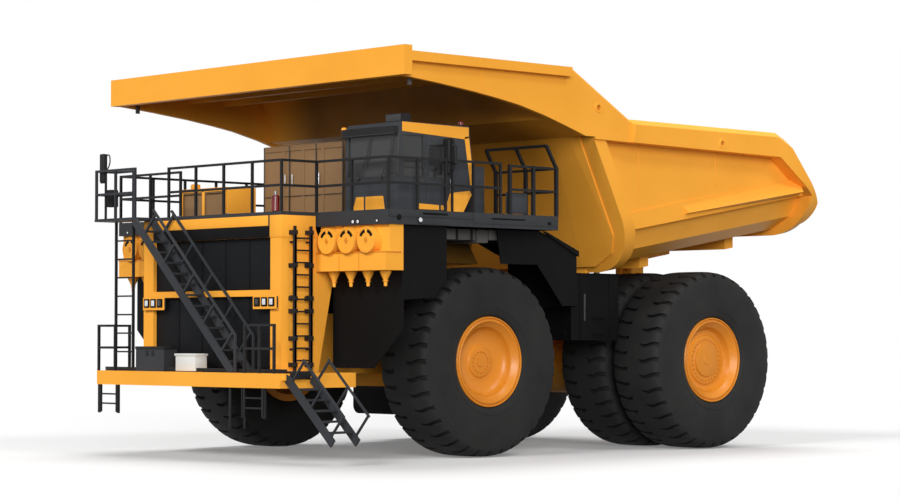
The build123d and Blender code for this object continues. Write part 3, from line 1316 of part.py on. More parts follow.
def grid_box():
    top_z = DECK_TOP_Z + GRID_BOX_HEIGHT
    high_x = GRID_BOX_LOW_X + GRID_BOX_WIDTH
    rear_y = GRID_BOX_FRONT_Y + GRID_BOX_DEPTH
    body = block(GRID_BOX_LOW_X, high_x, GRID_BOX_FRONT_Y, rear_y, DECK_TOP_Z, top_z)
    for step in range(2):
        x = GRID_BOX_LOW_X + GRID_BOX_WIDTH * (step + 0.5) / 2
        half = GRID_BOX_WIDTH / 4 - 50
        recess_y = GRID_BOX_FRONT_Y + 50
        body = body - block(x - half, x + half, GRID_BOX_FRONT_Y - 10, recess_y, DECK_TOP_Z + 90, top_z - 100)
    return body


# Dump body

def floor_z(y):
    return FLOOR_START_Z + FLOOR_SLOPE * y


def bolster_bottom(y):
    return floor_z(y) - BOLSTER_DEPTH


def wall_y(z):
    """The front face of the front wall at a height."""
    return WALL_FOOT_Y - WALL_SLOPE * (z - floor_z(WALL_FOOT_Y))


def trough_face(high, inset=0):
    """Section of the trough with its folded lower corners, with its walls moved in by an inset."""
    right = [
        (SHELL_HALF, high),
        (SHELL_HALF, FOLD_HEIGHT),
        (SHELL_HALF - FOLD_MIDDLE_DEPTH, FOLD_MIDDLE_HEIGHT),
        (SHELL_HALF - FOLD_DEPTH, 0),
    ]
    left = [(-x, z) for x, z in reversed(right)]
    face = make_face(Polyline(*right, *left, close=True))
    return offset(face, amount=-inset, kind=Kind.INTERSECTION) if inset else face


def round_face(half, low, high, radius):
    """Section with round lower corners, for the ribs that wrap the trough."""
    line = FilletPolyline((-half, high), (-half, low), (half, low), (half, high), radius=radius)
    return make_face(line + Line((half, high), (-half, high)))


def along_floor(face, start_y, end_y):
    """A section of the trough run along the slope of its floor."""
    plane = Plane(origin=(0, start_y, floor_z(start_y)), x_dir=(-1, 0, 0), z_dir=(0, 1, FLOOR_SLOPE))
    return extrude(plane * face, amount=(end_y - start_y) / FLOOR_COS)


def side_view():
    """Side view of the whole load box, behind the front wall."""
    tail_foot_y = TAIL_Y - 170
    return [
        (wall_y(BODY_LOW_Z) + WALL_THICKNESS, BODY_LOW_Z),
        (tail_foot_y, BODY_LOW_Z),
        (tail_foot_y, TAIL_KNEE_Z - 430),
        (TAIL_Y - 90, TAIL_KNEE_Z - 385),
        (TAIL_Y - 30, TAIL_KNEE_Z - 290),
        (TAIL_Y, TAIL_KNEE_Z - 170),
        (TAIL_Y, TAIL_KNEE_Z - 60),
        (TAIL_Y - 20, TAIL_KNEE_Z + 60),
        (TAIL_Y - 1310, RAIL_TOP_EDGE_Z - 150),
        (TAIL_Y - 1660, RAIL_TOP_EDGE_Z),
        (RAIL_JOINT_Y - 50, RAIL_TOP_EDGE_Z + 20),
        (CANOPY_REAR_Y, CANOPY_TOP_Z),
        (wall_y(CANOPY_TOP_Z) + WALL_THICKNESS, CANOPY_TOP_Z),
    ]


def side_slab(outline, x_low=-BODY_HALF, x_high=BODY_HALF):
    """The stretch of the load box that lies inside a side-view outline."""
    return side_plate(outline, x_low, x_high) & side_plate(side_view(), x_low, x_high)


def above_floor(height):
    """Side view of everything more than a height above the underside of the floor, square to it."""
    rise = height / FLOOR_COS
    ends = (-FAR, TAIL_Y + FAR)
    low = [(y, floor_z(y) + rise) for y in ends]
    return low + [(y, CANOPY_TOP_Z + FAR) for y in reversed(ends)]


def body_floor():
    high = CORNER_RADIUS + 500
    outer = along_floor(trough_face(high), -FAR, TAIL_Y + FAR)
    inner = along_floor(trough_face(high + 500, SHELL_WALL), -FAR - 100, TAIL_Y + FAR + 100)
    trough = (outer - inner) & side_plate(side_view(), -BODY_HALF, BODY_HALF)
    return trough - side_plate(above_floor(CORNER_RADIUS), -BODY_HALF, BODY_HALF)


def tail_strip():
    """Side view of the tail post, left of the tail line."""
    return [
        (TAIL_Y - 1900, RAIL_LOW_EDGE_Z + 100),
        (TAIL_Y - 1500, RAIL_LOW_EDGE_Z - 160),
        (TAIL_Y - 330, TAIL_KNEE_Z + 220),
        (TAIL_Y - 370, TAIL_KNEE_Z - 300),
        (TAIL_Y - 370, BODY_LOW_Z),
        (TAIL_Y + 500, BODY_LOW_Z),
        (TAIL_Y + 500, RAIL_LOW_EDGE_Z + 100),
    ]


def above_rail_edge():
    """Side view of everything above the lower edge of the top rail."""
    top_z = CANOPY_TOP_Z + FAR
    return [(-3000, RAIL_LOW_EDGE_Z + 30), (TAIL_Y, RAIL_LOW_EDGE_Z - 130), (TAIL_Y, top_z), (-3000, top_z)]


def top_rail():
    """Top rail of the left side, with its upper outer edges bevelled."""
    rail = side_slab(above_rail_edge(), SHELL_HALF, RAIL_FACE_X) - side_plate(tail_strip(), 0, BODY_HALF)

    def on_top(edge):
        run = edge.end_point() - edge.start_point()
        outside = edge.center().X > RAIL_FACE_X - 1
        high = edge.center().Z > RAIL_TOP_EDGE_Z - 100
        return outside and high and abs(run.Y) > 300 and abs(run.Z) < abs(run.Y)

    rail = chamfer(rail.edges().filter_by(on_top), RAIL_BEVEL)
    in_front = block(WEB_OUTER_X, BODY_HALF, -FAR, RAIL_JOINT_Y, 0, CANOPY_TOP_Z + FAR)
    return rail - in_front


def side_crease():
    """Side view of the lower part of the side panel, which stands a little proud."""
    crease_z = TAIL_KNEE_Z - 400
    return [(0, crease_z - 180), (2930, crease_z + 330), (TAIL_Y, crease_z + 1100), (TAIL_Y, 0), (0, 0)]


def body_side():
    """Inner wall, proud side panel and top rail of the left side."""
    inner_x = SHELL_HALF - SHELL_WALL
    wall = side_slab(above_floor(CORNER_RADIUS), inner_x, SHELL_HALF)
    skin = side_slab(above_floor(SEAM_HEIGHT), SHELL_HALF, SIDE_FACE_X)
    lower_skin = side_slab(above_floor(SEAM_HEIGHT), SIDE_FACE_X - 10, SIDE_FACE_X + 25)
    lower_skin = lower_skin & side_plate(side_crease(), 0, BODY_HALF)
    pieces = [wall, top_rail()]
    for panel in (skin, lower_skin, body_ledge()):
        pieces.append(panel - side_plate(tail_strip(), 0, BODY_HALF) - side_plate(hoop_strip(), 0, BODY_HALF))
    whole = joined(pieces)
    # Columns: y, z of each lifting hole
    for y, z in ((-110, RAIL_TOP_EDGE_Z + 210), (3940, RAIL_TOP_EDGE_Z - 360)):
        whole = whole - round_x(SHELL_HALF - 400, BODY_HALF, y, z, LIFT_HOLE_RADIUS)
    return whole


def wall_fold():
    """The wedge that is cut from the front wall beside its left fold line."""
    ends = []
    for fold_x, z in ((SHELL_HALF - 1230, FLOOR_START_Z - 50), (SHELL_HALF - 450, CANOPY_TOP_Z)):
        face_y = wall_y(z)
        outer_x = SHELL_HALF + 100
        ends.append([(fold_x, face_y, z), (outer_x, face_y - 20, z), (outer_x, face_y + WALL_FOLD_DEPTH, z)])
    return wedge(*ends)


def body_front_wall():
    outline = [
        (wall_y(BODY_LOW_Z), BODY_LOW_Z),
        (wall_y(BODY_LOW_Z) + WALL_THICKNESS, BODY_LOW_Z),
        (wall_y(CANOPY_TOP_Z) + WALL_THICKNESS, CANOPY_TOP_Z),
        (wall_y(CANOPY_TOP_Z), CANOPY_TOP_Z),
    ]
    slab = side_plate(outline, -BODY_HALF, BODY_HALF)
    wall = slab & along_floor(trough_face(CANOPY_TOP_Z), -FAR, TAIL_Y)
    fold = wall_fold()
    return wall - fold - other_side(fold)


def hoop_strip():
    """Side view of the rib at the front end of the load box."""
    return [
        (wall_y(BODY_LOW_Z) + WALL_THICKNESS, BODY_LOW_Z),
        (wall_y(BODY_LOW_Z) + HOOP_WIDTH, BODY_LOW_Z),
        (wall_y(RAIL_LOW_EDGE_Z) + HOOP_WIDTH, RAIL_LOW_EDGE_Z),
        (wall_y(RAIL_LOW_EDGE_Z) + WALL_THICKNESS, RAIL_LOW_EDGE_Z),
    ]


def hoop(face_x, drop):
    """A rib that wraps the trough, before it is cut to its side view."""
    outer = along_floor(round_face(face_x, -drop, CANOPY_TOP_Z, CORNER_RADIUS + drop), -FAR, TAIL_Y + FAR)
    inner = along_floor(trough_face(CANOPY_TOP_Z + FAR), -FAR - 100, TAIL_Y + FAR + 100)
    return outer - inner


def body_hoops():
    front = hoop(HOOP_FACE_X, HOOP_DROP) & side_plate(hoop_strip(), -BODY_HALF, BODY_HALF)
    front = front - side_plate(above_rail_edge(), -BODY_HALF, BODY_HALF)
    bolster_rear_y = BOLSTER_FRONT_Y + FAR
    side_low_z = floor_z(WALL_FOOT_Y) + CORNER_RADIUS - HOOP_DROP
    half = BOLSTER_CROSS_HALF
    front = front - block(-half, half, 0, bolster_rear_y, BODY_LOW_Z, side_low_z)
    tail = hoop(RAIL_FACE_X, HOOP_DROP) & side_plate(tail_strip(), -BODY_HALF, BODY_HALF)
    tail = tail & side_plate(side_view(), -BODY_HALF, BODY_HALF)
    return [front, tail]


def canopy():
    plate_front = LIP_FRONT_Y + LIP_DEPTH - 10
    plate_low = CANOPY_TOP_Z - CANOPY_THICKNESS
    top = block(-BODY_HALF, BODY_HALF, plate_front, wall_y(CANOPY_TOP_Z), plate_low, CANOPY_TOP_Z)
    lip = block(-BODY_HALF, BODY_HALF, LIP_FRONT_Y, LIP_FRONT_Y + LIP_DEPTH, LIP_BOTTOM_Z, LIP_TOP_Z)
    pieces = [top, lip]
    # Columns: y, z along the lower edge of the side web
    lower_edge = [
        (LIP_FRONT_Y + 10, LIP_BOTTOM_Z),
        (-4900, CANOPY_TOP_Z - 580),
        (-3840, CANOPY_TOP_Z - 695),
        (-3150, CANOPY_TOP_Z - 790),
        (-2530, CANOPY_TOP_Z - 890),
        (-1790, CANOPY_TOP_Z - 1060),
        (-1150, RAIL_LOW_EDGE_Z + 230),
        (-520, RAIL_LOW_EDGE_Z + 40),
        (wall_y(RAIL_LOW_EDGE_Z + 40) + WALL_THICKNESS, RAIL_LOW_EDGE_Z + 40),
    ]
    web_top = CANOPY_TOP_Z - 20
    web_outline = lower_edge + [(wall_y(web_top) + WALL_THICKNESS, web_top), (LIP_FRONT_Y + 10, web_top)]
    web = side_plate(web_outline, WEB_OUTER_X - WEB_THICKNESS, WEB_OUTER_X)
    web = web - side_plate(hoop_strip(), 0, BODY_HALF)
    flange_low = CANOPY_TOP_Z - FLANGE_DROP
    flange = block(WEB_OUTER_X - 20, BODY_HALF, plate_front, -1100, flange_low, CANOPY_TOP_Z - 10)
    left = [web, flange]
    pieces += left + [other_side(piece) for piece in left]
    throat_high = CANOPY_TOP_Z - 80
    throat = side_plate(
        [
            (wall_y(RAIL_LOW_EDGE_Z + 60), RAIL_LOW_EDGE_Z + 60),
            (wall_y(throat_high), throat_high),
            (wall_y(throat_high) - 620, throat_high),
            (-1480, RAIL_TOP_EDGE_Z - 90),
        ],
        -SHELL_HALF - 350,
        SHELL_HALF + 350,
    )
    pieces.append(throat)
    rib_half = WEB_OUTER_X - 50
    for step in range(1, 4):
        y = LIP_FRONT_Y + step * CANOPY_RIB_PITCH
        low_z = CANOPY_TOP_Z - CANOPY_RIB_DEPTH
        pieces.append(block(-rib_half, rib_half, y - 60, y + 60, low_z, CANOPY_TOP_Z - 20))
    return joined(pieces)


def body_ledge():
    """Sloped deflector ledge on the left side, deeper towards the tail."""
    low_x = SIDE_FACE_X + 15
    # Columns: y from the tail and height over the floor's start, of the upper, outer and lower corner
    front = ((-4680, 1570), (-4560, 1410), (-4610, 1380))
    rear = ((-530, 2370), (-680, 2030), (-650, 1930))
    ends = []
    for corners, reach in ((front, LEDGE_WIDTH * 0.43), (rear, LEDGE_WIDTH)):
        upper, outer, lower = [(TAIL_Y + y, FLOOR_START_Z + rise) for y, rise in corners]
        ends.append([(low_x, *upper), (low_x + reach, *outer), (low_x, *lower)])
    return wedge(*ends)


def pivot_ears():
    """The left pair of ears that turn on the body's pivot pin."""
    middle = (BOLSTER_INNER_X + BOLSTER_OUTER_X) / 2
    gap = 90 + EAR_SIDE_GAP
    low_y = PIVOT_Y - PIVOT_EAR_RADIUS
    high_y = PIVOT_Y + PIVOT_EAR_RADIUS
    top_z = bolster_bottom(PIVOT_Y) + 150
    pieces = []
    for x_low, x_high in ((BOLSTER_INNER_X - 60, middle - gap), (middle + gap, BOLSTER_OUTER_X + 60)):
        pieces.append(round_x(x_low, x_high, PIVOT_Y, PIVOT_Z, PIVOT_EAR_RADIUS))
        pieces.append(block(x_low, x_high, low_y, high_y, PIVOT_Z, top_z))
    return pieces


def hoist_ears():
    """The left pair of ears over the hoist cylinder's head."""
    gap = HOIST_EYE_WIDTH / 2 + EAR_SIDE_GAP
    low_y = HOIST_HEAD_Y - HOIST_EAR_RADIUS
    high_y = HOIST_HEAD_Y + HOIST_EAR_RADIUS
    top_z = floor_z(HOIST_HEAD_Y) + 10
    pieces = []
    for x_low in (HOIST_X - gap - HOIST_EAR_PLATE, HOIST_X + gap):
        x_high = x_low + HOIST_EAR_PLATE
        pieces.append(round_x(x_low, x_high, HOIST_HEAD_Y, HOIST_HEAD_Z, HOIST_EAR_RADIUS))
        pieces.append(block(x_low, x_high, low_y, high_y, HOIST_HEAD_Z, top_z))
    return pieces


def body_bolsters():
    front_y = BOLSTER_FRONT_Y
    rear_y = TAIL_Y - BOLSTER_TAIL_GAP
    outline = [
        (front_y, bolster_bottom(front_y)),
        (rear_y, bolster_bottom(rear_y)),
        (rear_y, floor_z(rear_y)),
        (front_y, floor_z(front_y)),
    ]
    left = [side_plate(outline, BOLSTER_INNER_X, BOLSTER_OUTER_X)] + pivot_ears() + hoist_ears()
    half = joined(left)
    half = half - round_x(0, BOLSTER_OUTER_X + 900, PIVOT_Y, PIVOT_Z, PIVOT_PIN_RADIUS + RUNNING_GAP)
    half = half - round_x(HOIST_X - 400, HOIST_X + 400, HOIST_HEAD_Y, HOIST_HEAD_Z, HOIST_HEAD_PIN_RADIUS)
    half = half - side_plate(above_floor(0), -BOLSTER_CROSS_HALF, BOLSTER_CROSS_HALF)
    cross = []
    # Columns: front y, length, depth under the floor
    for y, length, depth in ((front_y, 400, 160), (front_y + 1790, 300, 300), (rear_y - 400, 300, 300)):
        rear = y + length
        low = [(y, floor_z(y) - depth), (rear, floor_z(rear) - depth)]
        outline = low + [(rear, floor_z(rear)), (y, floor_z(y))]
        cross.append(side_plate(outline, -BOLSTER_CROSS_HALF, BOLSTER_CROSS_HALF))
    return joined([half, other_side(half)] + cross)


# Hoist

def hoist_line():
    foot = Vector(HOIST_X, HOIST_FOOT_Y, HOIST_FOOT_Z)
    head = Vector(HOIST_X, HOIST_HEAD_Y, HOIST_HEAD_Z)
    return foot, head, (head - foot).normalized()


def hoist_barrel():
    foot, head, along = hoist_line()
    start = foot + along * 200
    end = start + along * BARREL_LENGTH
    tube = round_bar(tuple(start), tuple(end), BARREL_RADIUS)
    half = HOIST_EYE_WIDTH / 2
    eye = round_x(HOIST_X - half, HOIST_X + half, HOIST_FOOT_Y, HOIST_FOOT_Z, HOIST_PIN_RADIUS + 70)
    neck = bar(tuple(foot), tuple(start + along * 20), HOIST_EYE_WIDTH, 240)
    pin_bore = HOIST_PIN_RADIUS + RUNNING_GAP
    hole = round_x(HOIST_X - 300, HOIST_X + 300, HOIST_FOOT_Y, HOIST_FOOT_Z, pin_bore)
    whole = joined([tube, eye, neck]) - hole
    bore = round_bar(tuple(start + along * 60), tuple(end + along * 50), ROD_RADIUS + RUNNING_GAP)
    return whole - bore


def hoist_rod():
    foot, head, along = hoist_line()
    start = foot + along * 280
    neck = bar(tuple(head - along * 230), tuple(head), HOIST_EYE_WIDTH, 160)
    rod = round_bar(tuple(start), tuple(head - along * 200), ROD_RADIUS)
    half = HOIST_EYE_WIDTH / 2
    eye = round_x(HOIST_X - half, HOIST_X + half, HOIST_HEAD_Y, HOIST_HEAD_Z, HOIST_EYE_RADIUS)
    hole = round_x(HOIST_X - 300, HOIST_X + 300, HOIST_HEAD_Y, HOIST_HEAD_Z, HOIST_HEAD_PIN_RADIUS)
    return joined([rod, neck, eye]) - hole


def main():
    os.makedirs("parts", exist_ok=True)
    left_rim = front_rim()
    one_tyre = tyre()
    left_tyre = Pos(FRONT_WHEEL_X, FRONT_AXLE_Y, AXLE_Z) * one_tyre
    left_rear_rims = rear_rims()
    rear_pair = [Pos(x, REAR_AXLE_Y, AXLE_Z) * one_tyre for x in (REAR_INNER_X, REAR_OUTER_X)]
    left_knuckle = knuckle()
    save("rim_front_left", left_rim)
    save("rim_front_right", other_side(left_rim))
    save("tyre_front_left", left_tyre)
    save("tyre_front_right", other_side(left_tyre))
    save("rims_rear_left", left_rear_rims)
    save("rims_rear_right", other_side(left_rear_rims))
    save("tyres_rear_left", *rear_pair)
    save("tyres_rear_right", *[other_side(piece) for piece in rear_pair])
    save("knuckle_left", left_knuckle)
    save("knuckle_right", other_side(left_knuckle))
    save("tie_rod", tie_rod())
    save("front_axle_beam", front_axle_beam())
    save("rear_axle_housing", rear_axle_housing())
    save("main_frame", main_frame())
    save("engine_block", engine_block())
    struts = [front_struts(), rear_struts()]
    save("suspension_struts", *struts, *[other_side(piece) for piece in struts])
    save("bumper_platform", bumper_platform())
    save("radiator_frame", radiator_frame())
    low_screen = screen(PLATFORM_TOP_Z, MID_BAR_Z)
    high_screen = screen(MID_BAR_Z + MID_BAR_HEIGHT, DECK_BOTTOM_Z - TOP_BAR_HEIGHT)
    save("radiator_screens", low_screen, high_screen)
    save("deck", deck())
    support = deck_supports()
    save("deck_supports", support, other_side(support))
    panel = mud_panel()
    curtain = rear_curtain()
    save("mudguards", panel, other_side(panel), curtain, other_side(curtain))
    filters = air_filter()
    save("air_filters", filters, other_side(filters))
    save("side_tanks", hydraulic_tank(), fuel_tank())
    save("handrails", *handrails(), rear_guard(), *platform_rails())
    save("front_stairway", front_stairway())
    save("ladders", *access_ladders(), *hanging_ladders())
    save("platform_fittings", *lamp_clusters(), *platform_boxes())
    save("boarding_stair", boarding_stair())
    save("cab_shell", cab_shell())
    save("cab_glass", *cab_glass())
    save("cab_door", cab_door())
    save("door_pane", door_pane())
    save("cab_interior", *cab_interior())
    save("deck_boxes", control_cabinet(), grid_box())
    save("mirrors_beacons", *cab_fittings(), *mirror_poles())
    save("body_floor", body_floor())
    side = body_side()
    save("body_sides", side, other_side(side))
    save("body_front_wall", body_front_wall())
    save("body_hoops", *body_hoops())
    save("body_canopy", canopy())
    save("body_bolsters", body_bolsters())
    barrel = hoist_barrel()
    rod = hoist_rod()
    save("hoist_barrel_left", barrel)
    save("hoist_barrel_right", other_side(barrel))
    save("hoist_rod_left", rod)
    save("hoist_rod_right", other_side(rod))


main()
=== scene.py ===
import json
import math

import bpy
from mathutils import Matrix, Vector


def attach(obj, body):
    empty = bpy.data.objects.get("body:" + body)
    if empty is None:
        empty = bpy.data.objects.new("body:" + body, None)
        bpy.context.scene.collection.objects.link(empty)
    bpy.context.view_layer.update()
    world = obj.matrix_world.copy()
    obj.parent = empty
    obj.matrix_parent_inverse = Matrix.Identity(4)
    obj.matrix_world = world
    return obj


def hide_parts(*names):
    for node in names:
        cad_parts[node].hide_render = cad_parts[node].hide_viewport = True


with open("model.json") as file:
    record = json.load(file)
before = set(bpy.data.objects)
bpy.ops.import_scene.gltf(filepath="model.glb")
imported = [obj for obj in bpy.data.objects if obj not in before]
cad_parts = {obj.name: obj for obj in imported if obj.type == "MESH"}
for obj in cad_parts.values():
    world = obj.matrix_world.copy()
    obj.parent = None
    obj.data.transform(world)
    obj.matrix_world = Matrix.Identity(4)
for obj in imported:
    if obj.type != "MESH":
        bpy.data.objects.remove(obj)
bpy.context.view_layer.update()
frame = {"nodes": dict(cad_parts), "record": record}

# Sizes in metres. The front faces -Y, the cab side is +X, and +Z is up.

# Photograph
CAMERA_PLACE = (41.996, -39.63, 2.62)
CAMERA_HEADING = math.radians(46.6285)
CAMERA_PITCH = math.radians(1.91)
LENS = 100.22
SENSOR = 36.0
VIEW_END = 500

# Light
SKY_LIGHT = 0.075
FLOOR_SIZE = 600
FLOOR_BOUNCE = 0.10
FLOOR_SEEN = 0.55
FLOOR_GLOW = 0.17
# Columns: name, place, energy, angle
SUNS = (
    ("key", (3, -30, 22), 1.95, 0.35),
    ("side", (26, 4, 30), 0.9, 0.35),
    ("top", (-9, 10, 30), 2.3, 0.45),
    ("near_fill", (30, -22, 8), 2.5, 0.5),
)

# Paint
BODY_YELLOW = (0.93, 0.405, 0.046)
BODY_YELLOW_CLOUD = (0.87, 0.37, 0.038)
# Painted shade under the canopy: the yellow darkens towards this colour, more so from the lower height up to
# the upper one.
CANOPY_PAINTED_SHADE = (0.22, 0.085, 0.004)
PAINTED_SHADE_LOW = 4.6
PAINTED_SHADE_HIGH = 7.4
SCOURED_STEEL = (0.24, 0.20, 0.165)

# Wheels
AXLE_HEIGHT = 2.02
FRONT_AXLE_Y = -2.53
REAR_AXLE_Y = 3.98
FRONT_WHEEL_X = 3.325
REAR_WHEEL_X = (2.300, 3.925)
RIM_FACE = 0.635
BOLT_SIZE = 0.024
LUGS = 36
GROOVE_START = 0.17
GROOVE_LENGTH = 0.62
GROOVE_WIDTH = 0.085
GROOVE_FLOOR = 1.912
GROOVE_WAVE = 0.030
GROOVE_STEPS = 10
SHOULDER_STEP = 6

# Points of a tyre's outer half from its middle to the bead: (x, radius)
TYRE_HALF = [
    (0.00, 2.016), (0.25, 2.015), (0.44, 2.008), (0.555, 1.992), (0.62, 1.965), (0.662, 1.925),
    (0.688, 1.87), (0.704, 1.79), (0.716, 1.68), (0.722, 1.56), (0.724, 1.44), (0.718, 1.32),
    (0.703, 1.20), (0.680, 1.10), (0.655, 1.03), (0.632, 0.992), (0.604, 0.972), (0.560, 0.968),
    (0.545, 0.93), (0.545, 0.863),
]

# Points of the rims: (distance from the outer face, radius)
RIM_MOUTH = [
    (-0.070, 0.955), (-0.050, 0.962), (-0.018, 0.960), (-0.004, 0.948), (-0.004, 0.930), (-0.018, 0.921),
    (-0.040, 0.916), (-0.040, 0.902), (-0.014, 0.894), (-0.006, 0.882), (-0.006, 0.862), (-0.022, 0.848),
    (-0.104, 0.766), (-0.114, 0.750), (-0.132, 0.738),
]
FRONT_BOWL = [
    (-0.180, 0.722), (-0.235, 0.688), (-0.282, 0.628), (-0.314, 0.545), (-0.330, 0.450), (-0.330, 0.385),
    (-0.320, 0.345), (-0.296, 0.324), (-0.288, 0.300), (-0.288, 0.110), (-0.270, 0.100), (-0.270, 0.0),
    (-0.340, 0.0), (-0.340, 0.262), (-0.710, 0.262), (-0.710, 0.400), (-0.450, 0.600), (-0.260, 0.800),
]
REAR_BOWL = [
    (-0.165, 0.722), (-0.212, 0.700), (-0.246, 0.672), (-0.256, 0.640), (-0.256, 0.592), (-0.246, 0.566),
    (-0.222, 0.552), (-0.214, 0.536), (-0.214, 0.400), (-0.204, 0.386), (-0.180, 0.380), (-0.172, 0.366),
    (-0.172, 0.120), (-0.156, 0.108), (-0.156, 0.0),
    (-0.265, 0.0), (-0.265, 0.302), (-0.655, 0.302), (-0.655, 0.420), (-0.375, 0.640), (-0.240, 0.800),
]
FRONT_SEAT = [(-1.27, 0.800), (-1.27, 0.96), (-1.20, 0.96), (-1.20, 0.861), (-0.07, 0.861)]
REAR_SEAT = [
    (-2.895, 0.800), (-2.895, 0.96), (-2.825, 0.96), (-2.825, 0.861), (-1.695, 0.861), (-1.695, 0.96),
    (-1.625, 0.96), (-1.625, 0.861), (-1.27, 0.861), (-1.27, 0.96), (-1.20, 0.96), (-1.20, 0.861),
    (-0.07, 0.861),
]

# Deck, front frame and cab
DECK_TOP = 5.13
DECK_SIDE_X = 4.57
DECK_FRONT_Y = -5.985
CHEEK_X = 4.03
FILTER_CAP_X = (2.80, 3.41, 4.02)
CAP_Z = 4.52
CAP_Y = -6.08
DUST_CONE_X = (2.70, 3.23, 3.76, 4.29)
POST_X = 2.0
GUARD_Y = -6.835
GUARD_COLUMNS = 5
GUARD_SPANS = ((1.90, 3.39), (3.52, 4.60))
LAMPS_IN_ROW = 3
LAMP_BOARD_Y = -7.004
FASCIA_Y = -6.945
FASCIA_DEPTH = 0.02
BUMPER_FACE_Y = -7.602
LADDER_BRACKET_Z = (4.70, 4.02, 3.34, 3.08, 2.52, 1.98)
CAB_SIDE_X = 4.26
CAB_FACE_Y = -5.43
RUBBER_WIDTH = 0.035
# Lower and upper (y, z) corners of the bars across the side windows
WINDOW_BARS = (((-5.29, 6.02), (-4.74, 6.05)), ((-4.58, 5.99), (-4.36, 6.03)), ((-4.40, 5.86), (-4.36, 6.03)))
CAB_SEAM_Z = (5.77, 5.782)
CABINET_SEAM_X = (-1.15, -0.28, 0.62, 1.50)
GRID_BOX_FACE_Y = -5.548
BOTTLE_PLACE = (1.70, -6.55)
HATCH_PLACES = (
    (-3.60, -4.20), (-3.60, -2.40), (0.0, -6.20), (-1.7, -6.20), (1.6, -6.20), (0.2, -2.2), (-1.4, -2.2),
)

# Load body, hoists, struts and rear axle
LIFTING_HOLES = ((4.85, -0.11, 7.51), (4.90, 3.94, 6.94))
CANOPY_TOP = 8.310
HOIST_FOOT = (1.4, 1.0, 1.30)
HOIST_RUN = (0, 1.3, 2.75)
FRONT_STRUT_X = 1.44
REAR_STRUT_X = 0.85
TAIL_LAMP_Y = 5.54
COVER_BOLTS = 20
COVER_BOLT_CIRCLE = 0.455


# Selecting and finishing pieces

def deselect():
    if bpy.context.mode != "OBJECT":
        bpy.ops.object.mode_set(mode="OBJECT")
    bpy.ops.object.select_all(action="DESELECT")


def pick(*objects):
    deselect()
    for thing in objects:
        thing.select_set(True)
    bpy.context.view_layer.objects.active = objects[-1]


def joined(pieces, name):
    pick(*pieces)
    if len(pieces) > 1:
        bpy.ops.object.join()
    whole = bpy.context.view_layer.objects.active
    whole.name = name
    return whole


def settle(piece):
    """Puts the piece's place, turn and scale into its mesh."""
    pick(piece)
    bpy.ops.object.transform_apply(location=True, rotation=True, scale=True)
    return piece


def moved(piece, spot):
    piece.location = spot
    return settle(piece)


def aimed(piece, run, axis, up):
    """Turns the piece so that its axis points along a run."""
    piece.rotation_mode = "QUATERNION"
    piece.rotation_quaternion = Vector(run).to_track_quat(axis, up)


def discard(*pieces):
    pick(*pieces)
    bpy.ops.object.delete()


def select_points(piece, test):
    """Opens the piece for editing with the points selected that pass the test."""
    pick(piece)
    bpy.ops.object.mode_set(mode="EDIT")
    bpy.ops.mesh.select_mode(type="VERT")
    bpy.ops.mesh.select_all(action="DESELECT")
    bpy.ops.object.mode_set(mode="OBJECT")
    for point in piece.data.vertices:
        point.select = test(point.co)
    bpy.ops.object.mode_set(mode="EDIT")


def all_points(piece):
    """Opens the piece for editing with all of it selected."""
    pick(piece)
    bpy.ops.object.mode_set(mode="EDIT")
    bpy.ops.mesh.select_all(action="SELECT")


def tidy_shell(piece):
    """Merges doubled points and turns all faces outwards."""
    all_points(piece)
    bpy.ops.mesh.remove_doubles(threshold=0.0002)
    bpy.ops.mesh.normals_make_consistent(inside=False)
    bpy.ops.object.mode_set(mode="OBJECT")
    return piece


def rounded(piece, width, segments=2, angle=40):
    """Rounds the piece's sharp edges."""
    pick(piece)
    edge = piece.modifiers.new("edges", "BEVEL")
    edge.width = width
    edge.segments = segments
    edge.limit_method = "ANGLE"
    edge.angle_limit = math.radians(angle)
    bpy.ops.object.modifier_apply(modifier=edge.name)
    return piece


def copied(piece, shift=(0, 0, 0)):
    """A copy with its own mesh, moved by a shift."""
    pick(piece)
    bpy.ops.object.duplicate(linked=False)
    twin = bpy.context.view_layer.objects.active
    return moved(twin, Vector(twin.location) + Vector(shift))


def turned(piece, angle, axis, centre):
    all_points(piece)
    bpy.ops.transform.rotate(value=-angle, orient_axis=axis, orient_type="GLOBAL", center_override=centre)
    bpy.ops.object.mode_set(mode="OBJECT")
    return piece


def mirrored(piece):
    """The same piece on the other side of the truck."""
    pick(piece)
    bpy.ops.object.duplicate(linked=False)
    twin = bpy.context.view_layer.objects.active
    twin.scale = (-1, 1, 1)
    settle(twin)
    return tidy_shell(twin)


def both_sides(pieces):
    return pieces + [mirrored(piece) for piece in pieces]


def fit_out(piece, body, material, smooth=30):
    """Finishes a piece: smooth shading, material and the body that it rides on."""
    settle(piece)
    piece.data.materials.clear()
    piece.data.materials.append(material)
    bpy.ops.object.shade_smooth_by_angle(angle=math.radians(smooth))
    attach(piece, body)
    return piece


def place(name, pieces, material, body="chassis", smooth=30):
    return fit_out(joined(pieces, name), body, material, smooth)


# Stock shapes

def block(low, high, edge=0.008, segments=2):
    """A block between two corners with rounded edges."""
    centre = [(a + b) / 2 for a, b in zip(low, high)]
    deselect()
    bpy.ops.mesh.primitive_cube_add(size=1, location=centre, scale=[b - a for a, b in zip(low, high)])
    return rounded(settle(bpy.context.object), edge, segments)


def rod(start, end, radius, sides=16, edge=0.0):
    """A round bar between two points, with softened ends."""
    start = Vector(start)
    end = Vector(end)
    run = end - start
    middle = (start + end) / 2
    deselect()
    bpy.ops.mesh.primitive_cylinder_add(vertices=sides, radius=radius, depth=run.length, location=middle)
    piece = bpy.context.object
    aimed(piece, run, "Z", "Y")
    return rounded(settle(piece), edge or radius * 0.15, 1, 50)


def weld(start, end, radius=0.010):
    """A low weld bead between two points."""
    return rod(start, end, radius, 8)


